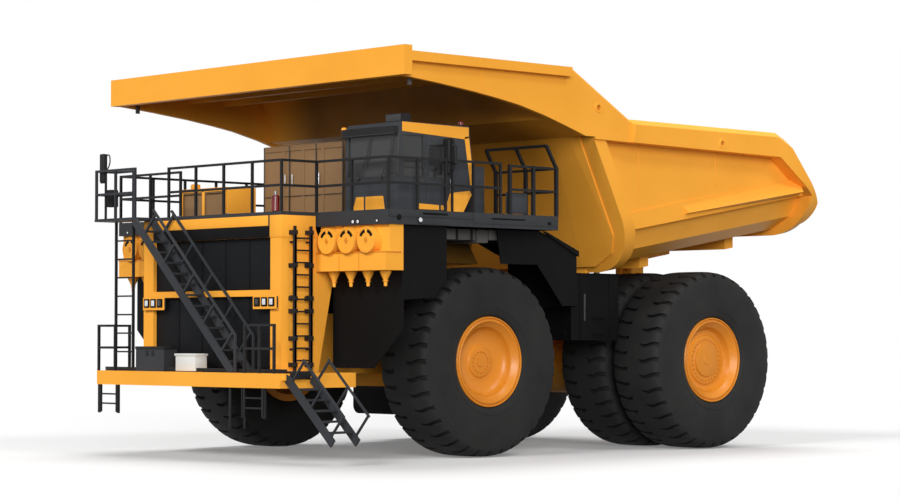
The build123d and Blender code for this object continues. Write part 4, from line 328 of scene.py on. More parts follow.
def bent_tube(points, radius, sides=3):
    """A round tube bent smoothly through points."""
    deselect()
    bpy.ops.curve.primitive_nurbs_path_add(location=(0, 0, 0))
    line = bpy.context.object.data
    line.splines.clear()
    spline = line.splines.new("NURBS")
    spline.points.add(len(points) - 1)
    for knot, spot in zip(spline.points, points):
        knot.co = (*spot, 1)
    spline.order_u = 3
    spline.use_endpoint_u = True
    line.bevel_depth = radius
    line.bevel_resolution = sides
    line.use_fill_caps = True
    line.resolution_u = 6
    bpy.ops.object.convert(target="MESH")
    return tidy_shell(bpy.context.object)


def traced(points):
    """Edges extruded from point to point; the piece is left open for editing with all of it selected."""
    deselect()
    bpy.ops.mesh.primitive_plane_add(size=0.01, location=(0, 0, 0))
    bpy.ops.object.mode_set(mode="EDIT")
    bpy.ops.mesh.merge(type="CENTER")
    bpy.ops.transform.translate(value=points[0])
    for start, end in zip(points, points[1:]):
        step = [b - a for a, b in zip(start, end)]
        bpy.ops.mesh.extrude_region_move(TRANSFORM_OT_translate={"value": step})
    bpy.ops.mesh.select_all(action="SELECT")
    return bpy.context.object


def spun(profile, centre=(0, 0, 0), steps=96):
    """Turns a profile of (x, radius) points about the line along X through a centre."""
    piece = traced([(x, 0, radius) for x, radius in profile])
    bpy.ops.mesh.spin(steps=steps, angle=math.tau, center=(0, 0, 0), axis=(1, 0, 0))
    bpy.ops.object.mode_set(mode="OBJECT")
    return moved(tidy_shell(piece), centre)


def plate(points, depth, edge=0.004):
    """A flat plate with these corners, made thick along one direction."""
    piece = traced(points)
    bpy.ops.mesh.edge_face_add()
    bpy.ops.mesh.extrude_region_move(TRANSFORM_OT_translate={"value": depth})
    bpy.ops.object.mode_set(mode="OBJECT")
    tidy_shell(piece)
    return rounded(piece, edge, 1) if edge else piece


def side_panel(outline, x, depth, edge=0.004):
    """A plate that faces sideways; its outline holds (y, z) points."""
    return plate([(x, y, z) for y, z in outline], (depth, 0, 0), edge)


def front_panel(outline, y, depth, edge=0.004):
    """A plate that faces the front or rear; its outline holds (x, z) points."""
    return plate([(x, y, z) for x, z in outline], (0, depth, 0), edge)


# Shader nodes

def fill(node, sockets):
    """Fills a node's sockets: another node's output is linked, a number or colour is set."""
    for key, value in sockets.items():
        socket = node.inputs[key]
        if isinstance(value, bpy.types.NodeSocket):
            node.id_data.links.new(value, socket)
        else:
            socket.default_value = (*value, 1) if socket.type == "RGBA" else value


def added(tree, kind, sockets=None, **settings):
    """A new shader node with its settings made and its sockets filled."""
    node = tree.nodes.new("ShaderNode" + kind)
    for name, value in settings.items():
        setattr(node, name, value)
    fill(node, sockets or {})
    return node


def new_finish(name):
    material = bpy.data.materials.new(name)
    material.use_nodes = True
    return material, material.node_tree, material.node_tree.nodes["Principled BSDF"]


def own_place(tree):
    return added(tree, "TexCoord").outputs["Object"]


def facing(tree):
    """The three parts of the surface's normal."""
    normal = added(tree, "NewGeometry").outputs["Normal"]
    return added(tree, "SeparateXYZ", {0: normal}).outputs


def spread(tree, scale, low=0.0, high=1.0, detail=4.0, stretch=(1, 1, 1)):
    """Noise on the piece's own place, spread between two values, and the same noise as it comes."""
    mapping = added(tree, "Mapping", {"Vector": own_place(tree), "Scale": stretch})
    noise = added(tree, "TexNoise", {"Vector": mapping.outputs[0], "Scale": scale, "Detail": detail})
    limits = {"Value": noise.outputs["Fac"], "From Min": 0.3, "From Max": 0.7, "To Min": low, "To Max": high}
    return added(tree, "MapRange", limits).outputs["Result"], noise.outputs["Fac"]


def ranged(tree, value, start, end):
    """A smooth rise from nought to one while a value goes from start to end."""
    limits = {"Value": value, "From Min": start, "From Max": end}
    return added(tree, "MapRange", limits, interpolation_type="SMOOTHSTEP").outputs["Result"]


def product(tree, first, *others):
    for other in others:
        first = added(tree, "Math", {0: first, 1: other}, operation="MULTIPLY").outputs[0]
    return first


def blended(tree, share, first, second):
    sockets = {"Factor": share, "A": first, "B": second}
    return added(tree, "Mix", sockets, data_type="RGBA").outputs["Result"]


def bumped(tree, shader, height, strength, distance):
    bump = added(tree, "Bump", {"Strength": strength, "Distance": distance, "Height": height})
    fill(shader, {"Normal": bump.outputs[0]})


def seen_by_eye(tree):
    """A value of one for the camera, for mirrors and through glass."""
    rays = added(tree, "LightPath").outputs
    first = added(tree, "Math", {0: rays["Is Camera Ray"], 1: rays["Is Glossy Ray"]}, operation="MAXIMUM")
    second = added(tree, "Math", {0: first.outputs[0], 1: rays["Is Transmission Ray"]}, operation="MAXIMUM")
    return second.outputs[0]


# Camera, floor and light

def camera():
    bpy.ops.object.camera_add(location=CAMERA_PLACE)
    eye = bpy.context.object
    eye.rotation_euler = (math.radians(90) + CAMERA_PITCH, 0, CAMERA_HEADING)
    eye.data.lens = LENS
    eye.data.sensor_width = SENSOR
    eye.data.clip_end = VIEW_END
    bpy.context.scene.camera = eye


def sun(name, spot, energy, angle):
    """A sun that shines from a spot towards the truck's middle."""
    bpy.ops.object.light_add(type="SUN", location=spot)
    light = bpy.context.object
    light.name = name
    light.rotation_euler = (-Vector(spot)).to_track_quat("-Z", "Y").to_euler()
    light.data.energy = energy
    light.data.angle = angle


def world_light():
    """A weak white sky on the truck that is plain white to the eye."""
    world = bpy.data.worlds.new("studio")
    bpy.context.scene.world = world
    world.use_nodes = True
    tree = world.node_tree
    sky = tree.nodes["Background"]
    fill(sky, {"Color": (1.0, 1.0, 1.0), "Strength": SKY_LIGHT})
    white = added(tree, "Background", {"Color": (1.0, 1.0, 1.0)})
    mixer = added(tree, "MixShader", {0: seen_by_eye(tree), 1: sky.outputs[0], 2: white.outputs[0]})
    fill(tree.nodes["World Output"], {"Surface": mixer.outputs[0]})


def floor():
    """Pale floor that keeps the truck's shadow and is white to the eye elsewhere."""
    bpy.ops.mesh.primitive_plane_add(size=FLOOR_SIZE, location=(0, 0, 0))
    ground = bpy.context.object
    ground.name = "studio_floor"
    material, tree, shader = new_finish("studio floor")
    tone = blended(tree, seen_by_eye(tree), [FLOOR_BOUNCE] * 3, [FLOOR_SEEN] * 3)
    fill(shader, {"Base Color": tone, "Roughness": 0.9, "Specular IOR Level": 0.1})
    glow = added(tree, "Emission", {"Color": [FLOOR_GLOW] * 3, "Strength": seen_by_eye(tree)})
    both = added(tree, "AddShader", {0: shader.outputs[0], 1: glow.outputs[0]})
    fill(tree.nodes["Material Output"], {"Surface": both.outputs[0]})
    ground.data.materials.append(material)


def studio():
    bpy.context.scene.view_settings.view_transform = "Standard"
    camera()
    world_light()
    floor()
    for row in SUNS:
        sun(*row)


# Materials

def with_painted_shade(tree, clean):
    """Painted shade under the canopy, behind its lip, and on the upper part of the body's front wall: the
    yellow is darkened on faces that look down or forwards, in uneven patches.
    """
    axes = added(tree, "SeparateXYZ", {0: own_place(tree)}).outputs
    across = added(tree, "Math", {0: axes["X"]}, operation="ABSOLUTE").outputs[0]
    normal = facing(tree)
    patches, _ = spread(tree, 0.5, 0.75, 1.0)
    share = product(
        tree, ranged(tree, across, 4.5, 2.8), ranged(tree, axes["Y"], -5.75, -5.2),
        ranged(tree, axes["Z"], PAINTED_SHADE_LOW, PAINTED_SHADE_HIGH), ranged(tree, normal["Y"], 0.35, -0.2),
        ranged(tree, normal["Z"], 0.3, -0.2), patches,
    )
    return blended(tree, share, clean, CANOPY_PAINTED_SHADE)


def enamel(name, color, cloud, shine, roughness=0.5, bump=0.12, coat=0.0, painted_shade=False):
    """Sprayed enamel: slight cloudiness, uneven gloss and a fine orange-peel surface, optionally with painted
    shade under the canopy darkening its colour.
    """
    material, tree, shader = new_finish(name)
    paint = blended(tree, spread(tree, 0.7)[0], color, cloud)
    gloss, _ = spread(tree, 2.2, roughness - 0.06, roughness + 0.08)
    fill(shader, {
        "Base Color": with_painted_shade(tree, paint) if painted_shade else paint, "Roughness": gloss,
        "Specular IOR Level": shine, "Coat Weight": coat, "Coat Roughness": 0.25,
    })
    bumped(tree, shader, spread(tree, 35.0, detail=2.0)[1], bump, 0.004)
    return material


def load_floor():
    """Yellow below; scoured to dull steel in streaks on the side that carries the load."""
    material, tree, shader = new_finish("worn load floor")
    paint = blended(tree, spread(tree, 0.7)[0], BODY_YELLOW, BODY_YELLOW_CLOUD)
    streaks, fine = spread(tree, 1.3, detail=6.0, stretch=(1, 0.25, 1))
    share = product(tree, ranged(tree, facing(tree)["Z"], 0.35, 0.7), streaks)
    worn = blended(tree, share, paint, SCOURED_STEEL)
    fill(shader, {"Base Color": worn, "Roughness": 0.5, "Specular IOR Level": 0.16})
    bumped(tree, shader, fine, 0.2, 0.006)
    return material


def rubber():
    """Tyre rubber with a dull bloom and fine grain."""
    material, tree, shader = new_finish("tyre rubber")
    bloom = blended(tree, spread(tree, 1.4)[0], (0.013, 0.013, 0.013), (0.021, 0.0205, 0.020))
    fill(shader, {"Base Color": bloom, "Roughness": 0.68, "Specular IOR Level": 0.14})
    bumped(tree, shader, spread(tree, 60.0, detail=3.0)[1], 0.25, 0.004)
    return material


def metal(name, color, roughness, scratch=40.0):
    """Bare metal with uneven tone, wear and fine scratches."""
    material, tree, shader = new_finish(name)
    darker = [0.75 * value for value in color]
    tone = blended(tree, spread(tree, 6.0)[0], color, darker)
    wear, _ = spread(tree, 3.0, roughness - 0.08, roughness + 0.12, 5.0)
    fill(shader, {"Base Color": tone, "Roughness": wear, "Metallic": 0.9})
    bumped(tree, shader, spread(tree, scratch, detail=2.0, stretch=(1, 1, 0.1))[1], 0.08, 0.002)
    return material


def screen_mesh():
    """Radiator core behind a fine dark mesh."""
    material, tree, shader = new_finish("radiator mesh")
    upright = added(tree, "Mapping", {"Vector": own_place(tree), "Rotation": (math.radians(90), 0, 0)})
    wires = added(tree, "TexBrick", {
        "Vector": upright.outputs[0], "Scale": 14.0, "Mortar Size": 0.03, "Mortar": (0.012, 0.013, 0.015),
        "Color1": (0.0045, 0.005, 0.006), "Color2": (0.0065, 0.007, 0.008),
    }).outputs
    fill(shader, {"Base Color": wires["Color"], "Roughness": 0.5, "Specular IOR Level": 0.06})
    bumped(tree, shader, wires["Fac"], 0.5, 0.01)
    return material


def tread_plate():
    """Deck plate with raised anti-slip studs."""
    material, tree, shader = new_finish("deck plate grey")
    studs = added(tree, "TexVoronoi", {"Vector": own_place(tree), "Scale": 22.0})
    tone = blended(tree, spread(tree, 1.5)[0], (0.028, 0.029, 0.032), (0.037, 0.038, 0.041))
    gloss, _ = spread(tree, 3.0, 0.42, 0.6)
    fill(shader, {"Base Color": tone, "Roughness": gloss, "Specular IOR Level": 0.12})
    bumped(tree, shader, studs.outputs["Distance"], 0.12, 0.006)
    return material


def tinted_glass():
    material, tree, shader = new_finish("tinted glass")
    film, _ = spread(tree, 1.1, 0.10, 0.18)
    fill(shader, {
        "Base Color": (0.045, 0.047, 0.046), "Roughness": film, "Transmission Weight": 0.25,
        "Specular IOR Level": 0.3, "IOR": 1.45,
    })
    return material


def lamp_glass(name, color, glow):
    """Fluted lamp glass with a faint glow."""
    material, tree, shader = new_finish(name)
    flutes = added(tree, "TexWave", {"Vector": own_place(tree), "Scale": 18.0})
    fill(shader, {"Base Color": color, "Roughness": 0.12, "Emission Color": color, "Emission Strength": glow})
    bumped(tree, shader, flutes.outputs["Fac"], 0.3, 0.004)
    return material


def moulded(name, color, roughness):
    """Moulded plastic or rubber trim with a fine leather-like grain."""
    material, tree, shader = new_finish(name)
    grain = added(tree, "TexVoronoi", {"Vector": own_place(tree), "Scale": 90.0})
    lighter = [1.25 * value for value in color]
    tone = blended(tree, spread(tree, 2.0)[0], color, lighter)
    fill(shader, {"Base Color": tone, "Roughness": roughness})
    bumped(tree, shader, grain.outputs["Distance"], 0.15, 0.002)
    return material


YELLOW = enamel("body yellow", BODY_YELLOW, BODY_YELLOW_CLOUD, 0.16)
# Body yellow with painted shade under the canopy.
SHADE_PAINTED_YELLOW = enamel("painted shade yellow", BODY_YELLOW, BODY_YELLOW_CLOUD, 0.12, painted_shade=True)
RIM_YELLOW = enamel("rim yellow", (0.68, 0.24, 0.018), (0.62, 0.21, 0.014), 0.25, 0.34, coat=0.1)
# Partly a duller tan paint and partly painted shade: the deck cabinets and the grid box are darkened to the
# tone that the canopy's shade gives them.
CABINET_TAN_AND_SHADE = enamel("cabinet tan with painted shade", (0.25, 0.145, 0.068), (0.22, 0.125, 0.055), 0.2)
# Painted shade: the hose carriers' yellow is darkened to the brown of the shade under the deck.
CARRIER_PAINTED_SHADE = enamel("carrier painted shade", (0.13, 0.062, 0.010), (0.10, 0.048, 0.008), 0.1)
STAIR_GREY = enamel("stair grey", (0.026, 0.028, 0.032), (0.034, 0.036, 0.040), 0.12)
GREY = enamel("rail grey", (0.011, 0.011, 0.012), (0.017, 0.0165, 0.017), 0.12, bump=0.08)
CAB_GREY = enamel("cab grey", (0.036, 0.039, 0.044), (0.044, 0.047, 0.052), 0.15, bump=0.06)
BOX_GREY = enamel("box grey", (0.10, 0.095, 0.09), (0.085, 0.08, 0.078), 0.2)
BLACK = enamel("matt black", (0.0035, 0.0035, 0.004), (0.0060, 0.0055, 0.0055), 0.06, 0.6, 0.15)
WHITE = enamel("switch box white", (0.66, 0.66, 0.63), (0.58, 0.58, 0.55), 0.5, 0.45, coat=0.1)
LOAD_FLOOR = load_floor()
RUBBER = rubber()
STEEL = metal("bare steel", (0.30, 0.30, 0.31), 0.38)
CHROME = metal("hard chrome", (0.78, 0.78, 0.80), 0.14, 80.0)
MESH = screen_mesh()
DECK_GREY = tread_plate()
GLASS = tinted_glass()
TRIM = moulded("cab trim", (0.04, 0.04, 0.042), 0.6)
SEAL = moulded("window seal", (0.012, 0.012, 0.012), 0.5)
CLEAR_LAMP = lamp_glass("clear lamp", (0.62, 0.63, 0.65), 0.06)
AMBER_LAMP = lamp_glass("amber lamp", (0.85, 0.30, 0.02), 0.3)
RED_LAMP = lamp_glass("red lamp", (0.16, 0.006, 0.006), 0.05)

BY_SLOT = {
    "yellow_paint": YELLOW,
    "rim_paint": RIM_YELLOW,
    "grey_paint": GREY,
    "black_paint": BLACK,
    "tyre_rubber": RUBBER,
    "steel": STEEL,
    "chrome": CHROME,
    "window_glass": GLASS,
    "cab_trim": TRIM,
}
BY_NODE = {
    "deck": DECK_GREY,
    "radiator_screens": MESH,
    # The deck boxes take the tan with painted shade.
    "deck_boxes": CABINET_TAN_AND_SHADE,
    "front_stairway": STAIR_GREY,
    "boarding_stair": STAIR_GREY,
    "platform_fittings": STAIR_GREY,
    "body_floor": LOAD_FLOOR,
    # The canopy and the body's front wall carry painted shade under the canopy.
    "body_canopy": SHADE_PAINTED_YELLOW,
    "body_front_wall": SHADE_PAINTED_YELLOW,
    "cab_shell": CAB_GREY,
    "cab_door": CAB_GREY,
}


def dress_solids():
    """Gives every solid of the frame its finish, by node or by record slot."""
    for row in frame["record"]["subparts"]:
        node = frame["nodes"][row["node"]]
        node.data.materials.clear()
        node.data.materials.append(BY_NODE.get(row["node"], BY_SLOT[row["material_slot"]]))


# Tyres and rims

def casing():
    """The smooth tyre about the origin, from bead to bead."""
    profile = [(-x, radius) for x, radius in TYRE_HALF[:0:-1]] + TYRE_HALF
    return spun(profile + [profile[0]], steps=108)


def groove_cutter():
    """One wavy groove of a tread half, at the lowest point of the tyre; it opens over the shoulder."""
    deselect()
    bpy.ops.mesh.primitive_grid_add(x_subdivisions=GROOVE_STEPS, y_subdivisions=1, size=1)
    cutter = bpy.context.object
    cutter.scale = (GROOVE_LENGTH, GROOVE_WIDTH, 1)
    moved(cutter, (GROOVE_START + GROOVE_LENGTH / 2, 0, -GROOVE_FLOOR))
    for step in range(GROOVE_STEPS + 1):
        x = GROOVE_START + GROOVE_LENGTH * step / GROOVE_STEPS
        past = max(0, step - SHOULDER_STEP) / (GROOVE_STEPS - SHOULDER_STEP)
        wave = GROOVE_WAVE * math.sin(math.tau * 1.15 * step / GROOVE_STEPS)
        select_points(cutter, lambda point: abs(point.x - x) < 0.01)
        bpy.ops.transform.resize(value=(1, 1 + 0.75 * past, 1), center_override=(x, 0, -GROOVE_FLOOR))
        bpy.ops.transform.translate(value=(0, wave, 0.05 * past))
        bpy.ops.object.mode_set(mode="OBJECT")
    all_points(cutter)
    bpy.ops.mesh.extrude_region_move(TRANSFORM_OT_translate={"value": (0, 0, -0.25)})
    bpy.ops.object.mode_set(mode="OBJECT")
    return tidy_shell(cutter)


def tread_cutters():
    """The grooves of both tread halves, staggered by half a pitch."""
    right = groove_cutter()
    left = turned(mirrored(right), math.radians(180 / LUGS), "X", (0, 0, 0))
    cutters = []
    for seed in (right, left):
        for lug in range(LUGS):
            cutters.append(turned(copied(seed), math.tau * lug / LUGS, "X", (0, 0, 0)))
    discard(right, left)
    return joined(cutters, "tread_cutters")


def lug_tyre():
    """The casing with the grooves cut out of its tread, about the origin."""
    tyre = casing()
    cutters = tread_cutters()
    pick(tyre)
    cut = tyre.modifiers.new("grooves", "BOOLEAN")
    cut.operation = "DIFFERENCE"
    cut.solver = "EXACT"
    cut.object = cutters
    bpy.ops.object.modifier_apply(modifier=cut.name)
    discard(cutters)
    return tyre


def ring(x, radius, thickness):
    """A thin raised ring on the tyre's side wall."""
    profile = [
        (x - thickness, radius + thickness), (x, radius + 0.6 * thickness), (x + 0.4 * thickness, radius),
        (x, radius - 0.6 * thickness), (x - thickness, radius - thickness),
    ]
    return spun(profile + [profile[0]])


def tyres():
    seed = lug_tyre()
    rings = [ring(0.716, 1.66, 0.010), ring(0.690, 1.13, 0.012)]
    seed = joined(rings + [mirrored(piece) for piece in rings] + [seed], "tyre_seed")
    # Columns: tyre node, body, wheel places along x, wheel line along y
    rows = (
        ("tyre_front_left", "wheel_front_left", (FRONT_WHEEL_X,), FRONT_AXLE_Y),
        ("tyre_front_right", "wheel_front_right", (-FRONT_WHEEL_X,), FRONT_AXLE_Y),
        ("tyres_rear_left", "wheels_rear_left", REAR_WHEEL_X, REAR_AXLE_Y),
        ("tyres_rear_right", "wheels_rear_right", [-x for x in REAR_WHEEL_X], REAR_AXLE_Y),
    )
    for node, body, places, line_y in rows:
        wheels = [copied(seed, (x, line_y, AXLE_HEIGHT)) for x in places]
        piece = place(node + "_rubber", wheels, RUBBER, body, 35)
        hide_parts(node)
    discard(seed)


def bolt_ring(count, x, radius, line_y):
    """Bolt heads in a ring about a wheel line."""
    bolts = []
    centre = (x, line_y, AXLE_HEIGHT)
    top = AXLE_HEIGHT + radius
    for turn in range(count):
        head = rod((x, line_y, top), (x + BOLT_SIZE, line_y, top), BOLT_SIZE, 6)
        bolts.append(turned(head, math.tau * turn / count, "X", centre))
    return bolts


def rims():
    # Columns: rim node, body, wheel place, wheel line, seat, bowl, bolt count, bolt face, bolt circle
    rows = (
        ("rim_front", "wheel_front", FRONT_WHEEL_X, FRONT_AXLE_Y, FRONT_SEAT, FRONT_BOWL, 16, -0.288, 0.225),
        ("rims_rear", "wheels_rear", REAR_WHEEL_X[1], REAR_AXLE_Y, REAR_SEAT, REAR_BOWL, 28, -0.214, 0.470),
    )
    for node, body, wheel_x, line_y, seat, bowl, count, bolt_x, circle in rows:
        outer = wheel_x + RIM_FACE
        profile = [(outer + x, radius) for x, radius in seat + RIM_MOUTH + bowl]
        left = spun(profile + [profile[0]], (0, line_y, AXLE_HEIGHT))
        bolts = bolt_ring(count, outer + bolt_x, circle, line_y)
        left = joined(bolts + [left], node + "_left_steel")
        right = mirrored(left)
        right.name = node + "_right_steel"
        for side, piece in (("_left", left), ("_right", right)):
            fit_out(piece, body + side, RIM_YELLOW)
            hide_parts(node + side)


# Under the deck

def under_deck():
    """Black splash skirts beside the front wheels, the boxes above them and the rear curtain's cheeks."""
    skirt_outline = [(-5.49, 4.825), (-4.25, 4.825), (-4.25, 3.72), (-4.62, 3.36), (-5.49, 3.30)]
    skirt = side_panel(skirt_outline, 4.42, 0.03)
    cheek_outline = [
        (-2.42, 4.825), (-1.12, 4.825), (-0.01, 4.43), (-0.01, 3.22), (-0.42, 3.22), (-1.20, 4.10),
        (-2.30, 4.10),
    ]
    cheek = side_panel(cheek_outline, CHEEK_X, 0.03)
    slope_corners = [(1.95, -1.12, 4.80), (4.05, -1.12, 4.80), (4.05, -0.02, 4.42), (1.95, -0.02, 4.42)]
    slope = plate(slope_corners, (0, 0, 0.025))
    rim = side_panel([(-1.08, 4.825), (-0.98, 4.825), (0.05, 4.42), (0.05, 4.30)], CHEEK_X + 0.03, 0.05)
    place("splash_skirts", both_sides([skirt, cheek, slope, rim]), BLACK)
    boxes = [
        block((3.10, -3.90, 4.585), (3.98, -2.98, 4.82), 0.015),
        block((3.10, -2.95, 4.535), (4.00, -2.62, 4.82), 0.015),
        block((3.10, -2.58, 4.60), (3.98, -2.32, 4.82), 0.015),
    ]
    straps = [block((3.09, y, 4.575), (4.01, y + 0.05, 4.826), 0.006) for y in (-3.55, -3.12)]
    place("deck_junction_boxes", boxes, BOX_GREY)
    place("junction_box_straps", straps, GREY)
    carrier = side_panel([(-3.36, 4.79), (-2.10, 4.79), (-1.68, 4.13), (-3.36, 4.13)], 2.42, 0.3, 0.01)
    # The hose carriers are painted dark as painted shade under the deck.
    place("hose_carriers", both_sides([carrier]), CARRIER_PAINTED_SHADE)


def deck_edges():
    """Kick plates, cable slots, small lamps and the round holes in the edges of the deck."""
    kicks = [
        block((DECK_SIDE_X, -5.96, 4.98), (4.592, -3.65, 5.125), 0.004),
        block((DECK_SIDE_X, -3.60, 4.90), (4.592, -1.12, 5.125), 0.004),
        block((DECK_SIDE_X, -5.10, 4.84), (4.600, -4.30, 4.97), 0.006),
    ]
    place("deck_kick_plates", both_sides(kicks), DECK_GREY)
    slots = [
        block((4.588, -3.10, 5.00), (4.596, -2.10, 5.035), 0.003),
        block((4.588, -5.05, 5.04), (4.596, -4.35, 5.085), 0.003),
        block((4.588, -1.42, 4.93), (4.596, -1.32, 5.00), 0.003),
    ]
    place("deck_cable_slots", both_sides(slots), BLACK)
    lamps = []
    bezels = []
    for x, radius in ((3.505, 0.036), (3.659, 0.036), (4.241, 0.026)):
        lamps.append(rod((x, DECK_FRONT_Y, 4.90), (x, -6.006, 4.90), radius, 20, 0.006))
        bezels.append(rod((x, DECK_FRONT_Y, 4.90), (x, -5.999, 4.90), radius + 0.018, 20, 0.004))
    lamps.append(rod((4.585, -5.12, 4.93), (4.608, -5.12, 4.93), 0.05, 24, 0.008))
    bezels.append(rod((4.585, -5.12, 4.93), (4.602, -5.12, 4.93), 0.07, 24, 0.004))
    bezels.append(rod((4.585, -5.70, 4.97), (4.597, -5.70, 4.97), 0.06, 24, 0.002))
    place("deck_corner_lamps", both_sides(lamps), CLEAR_LAMP)
    place("deck_lamp_bezels", both_sides(bezels), BLACK)


# Air filters

def faced_ring(x, y, z, radius, width, height, sides=40):
    """A flat ring that stands out to the front."""
    low = radius - width
    profile = [(0, low), (height, low), (height, radius), (0, radius), (0, low)]
    piece = turned(spun(profile, steps=sides), math.radians(90), "Z", (0, 0, 0))
    return moved(piece, (x, y, z))


def arc_point(x, side, radius, turn):
    angle = math.radians(turn)
    return x + side * radius * math.sin(angle), CAP_Z + radius * math.cos(angle)


def filter_parts():
    """Rings, slots and centre nuts of the intake caps, the housings' seams and the dust valves."""
    rings = []
    arcs = []
    nuts = []
    for x in FILTER_CAP_X:
        rings.append(faced_ring(x, CAP_Y - 0.001, CAP_Z, 0.268, 0.028, -0.022))
        rings.append(rod((x, CAP_Y + 0.02, CAP_Z), (x, CAP_Y - 0.012, CAP_Z), 0.245, 40, 0.01))
        diamond = [(x - 0.055, CAP_Z), (x, CAP_Z - 0.075), (x + 0.055, CAP_Z), (x, CAP_Z + 0.075)]
        nuts.append(front_panel(diamond, CAP_Y - 0.030, 0.02, 0.006))
        for side in (-1, 1):
            outer = [arc_point(x, side, 0.215, turn) for turn in (12, 26, 40, 54, 66)]
            inner = [arc_point(x, side, 0.150, turn) for turn in (66, 54, 40, 26, 12)]
            arcs.append(front_panel(outer + inner, CAP_Y - 0.018, 0.008, 0))
    place("filter_cap_rings", both_sides(rings), YELLOW)
    place("filter_cap_slots", both_sides(arcs), BLACK)
    place("filter_cap_nuts", both_sides(nuts), RIM_YELLOW)
    seam = [
        block((2.385, -6.03, 4.255), (4.545, -5.60, 4.285), 0.006),
        block((3.10, -6.027, 3.90), (3.115, -6.018, 4.26), 0.002),
        block((3.72, -6.027, 3.90), (3.735, -6.018, 4.26), 0.002),
    ]
    place("filter_seams", both_sides(seam), RIM_YELLOW)
    line = [block((3.10, -5.912, 4.29), (3.108, -5.898, 4.82), 0.002)]
    place("filter_joint_lines", both_sides(line), BLACK)
    valves = []
    for x in DUST_CONE_X:
        valves.append(rod((x, -5.80, 3.665), (x, -5.80, 3.575), 0.036, 16, 0.012))
        valves.append(rod((x, -5.80, 3.690), (x, -5.80, 3.672), 0.062, 20, 0.006))
    place("dust_valves", both_sides(valves), YELLOW)


# Radiator frame and lamps

def radiator_guard():
    """Mesh panels in thin frames before the radiator louvres."""
    meshes = []
    frames = []
    width = 2 * POST_X / GUARD_COLUMNS
    for low, high in GUARD_SPANS:
        for column in range(GUARD_COLUMNS):
            x = -POST_X + column * width
            meshes.append(block((x + 0.004, GUARD_Y, low), (x + width - 0.004, GUARD_Y + 0.012, high), 0.002))
            frames.append(block((x - 0.010, GUARD_Y - 0.008, low), (x + 0.010, GUARD_Y + 0.004, high), 0.003))
        frames.append(block((-POST_X, GUARD_Y - 0.008, low), (POST_X, GUARD_Y + 0.006, low + 0.03), 0.003))
        frames.append(block((-POST_X, GUARD_Y - 0.008, high - 0.03), (POST_X, GUARD_Y + 0.006, high), 0.003))
    place("radiator_mesh_panels", meshes, MESH)
    place("radiator_mesh_frames", frames, BLACK)


def head_lamps():
    """Three square lamps a side below the radiator's middle bar; the innermost one is dark."""
    boards = [(1.52, 3.125), (2.28, 3.125), (2.28, 3.40), (1.52, 3.40)]
    plates = [front_panel(boards, LAMP_BOARD_Y, 0.014)]
    lenses = []
    unlit = []
    bezels = []
    for step in range(LAMPS_IN_ROW):
        x = 1.55 + 0.7 * (step + 0.5) / LAMPS_IN_ROW
        bezels.append(block((x - 0.094, -7.024, 3.181), (x + 0.094, -7.002, 3.369), 0.008))
        row = unlit if step == 0 else lenses
        row.append(block((x - 0.052, -7.034, 3.213), (x + 0.052, -7.020, 3.337), 0.012))
    place("lamp_plates", both_sides(plates), YELLOW)
    place("lamp_bezels", both_sides(bezels), BLACK)
    place("lamp_lenses", both_sides(lenses), CLEAR_LAMP)
    place("lamp_dark_lenses", both_sides(unlit), GLASS)


# Cab

def cab_stripes():
    """Yellow strips along the roof, down the rear corner and low on the front and side."""
    side_outlines = (
        [(-5.32, 6.945), (-3.445, 6.925), (-3.445, 6.70), (-3.57, 6.67), (-5.32, 6.75)],
        [(-3.57, 6.72), (-3.445, 6.74), (-3.285, 5.72), (-3.395, 5.70)],
        [(-4.13, 5.15), (-3.98, 5.53), (-3.42, 5.60), (-3.36, 5.52), (-3.60, 5.15)],
        [(-4.93, 5.17), (-4.90, 5.29), (-4.30, 5.27), (-4.30, 5.17)],
        [(-4.24, 5.17), (-4.24, 5.27), (-4.17, 5.27), (-4.15, 5.17)],
    )
    front_outlines = (
        [(2.86, 5.16), (2.97, 5.44), (3.20, 5.44), (3.20, 5.16)],
        [(3.26, 5.16), (3.26, 5.44), (3.80, 5.44), (3.85, 5.16)],
    )
    strips = [side_panel(outline, CAB_SIDE_X - 0.004, 0.014) for outline in side_outlines]
    strips += [front_panel(outline, CAB_FACE_Y - 0.010, 0.014) for outline in front_outlines]
    place("cab_yellow_stripes", strips, YELLOW)


def window_rubber(low, high, face, sideways):
    """Four strips round a window in the cab's front, or in its side."""
    strips = []
    (a, z_low), (b, z_high) = low, high
    spans = (
        (a - RUBBER_WIDTH, b + RUBBER_WIDTH, z_low - RUBBER_WIDTH, z_low),
        (a - RUBBER_WIDTH, b + RUBBER_WIDTH, z_high, z_high + RUBBER_WIDTH),
        (a - RUBBER_WIDTH, a, z_low, z_high), (b, b + RUBBER_WIDTH, z_low, z_high),
    )
    for a_low, a_high, z_a, z_b in spans:
        if sideways:
            strips.append(block((face - 0.006, a_low, z_a), (face + 0.008, a_high, z_b), 0.003))
        else:
            strips.append(block((a_low, face - 0.008, z_a), (a_high, face + 0.006, z_b), 0.003))
    return strips


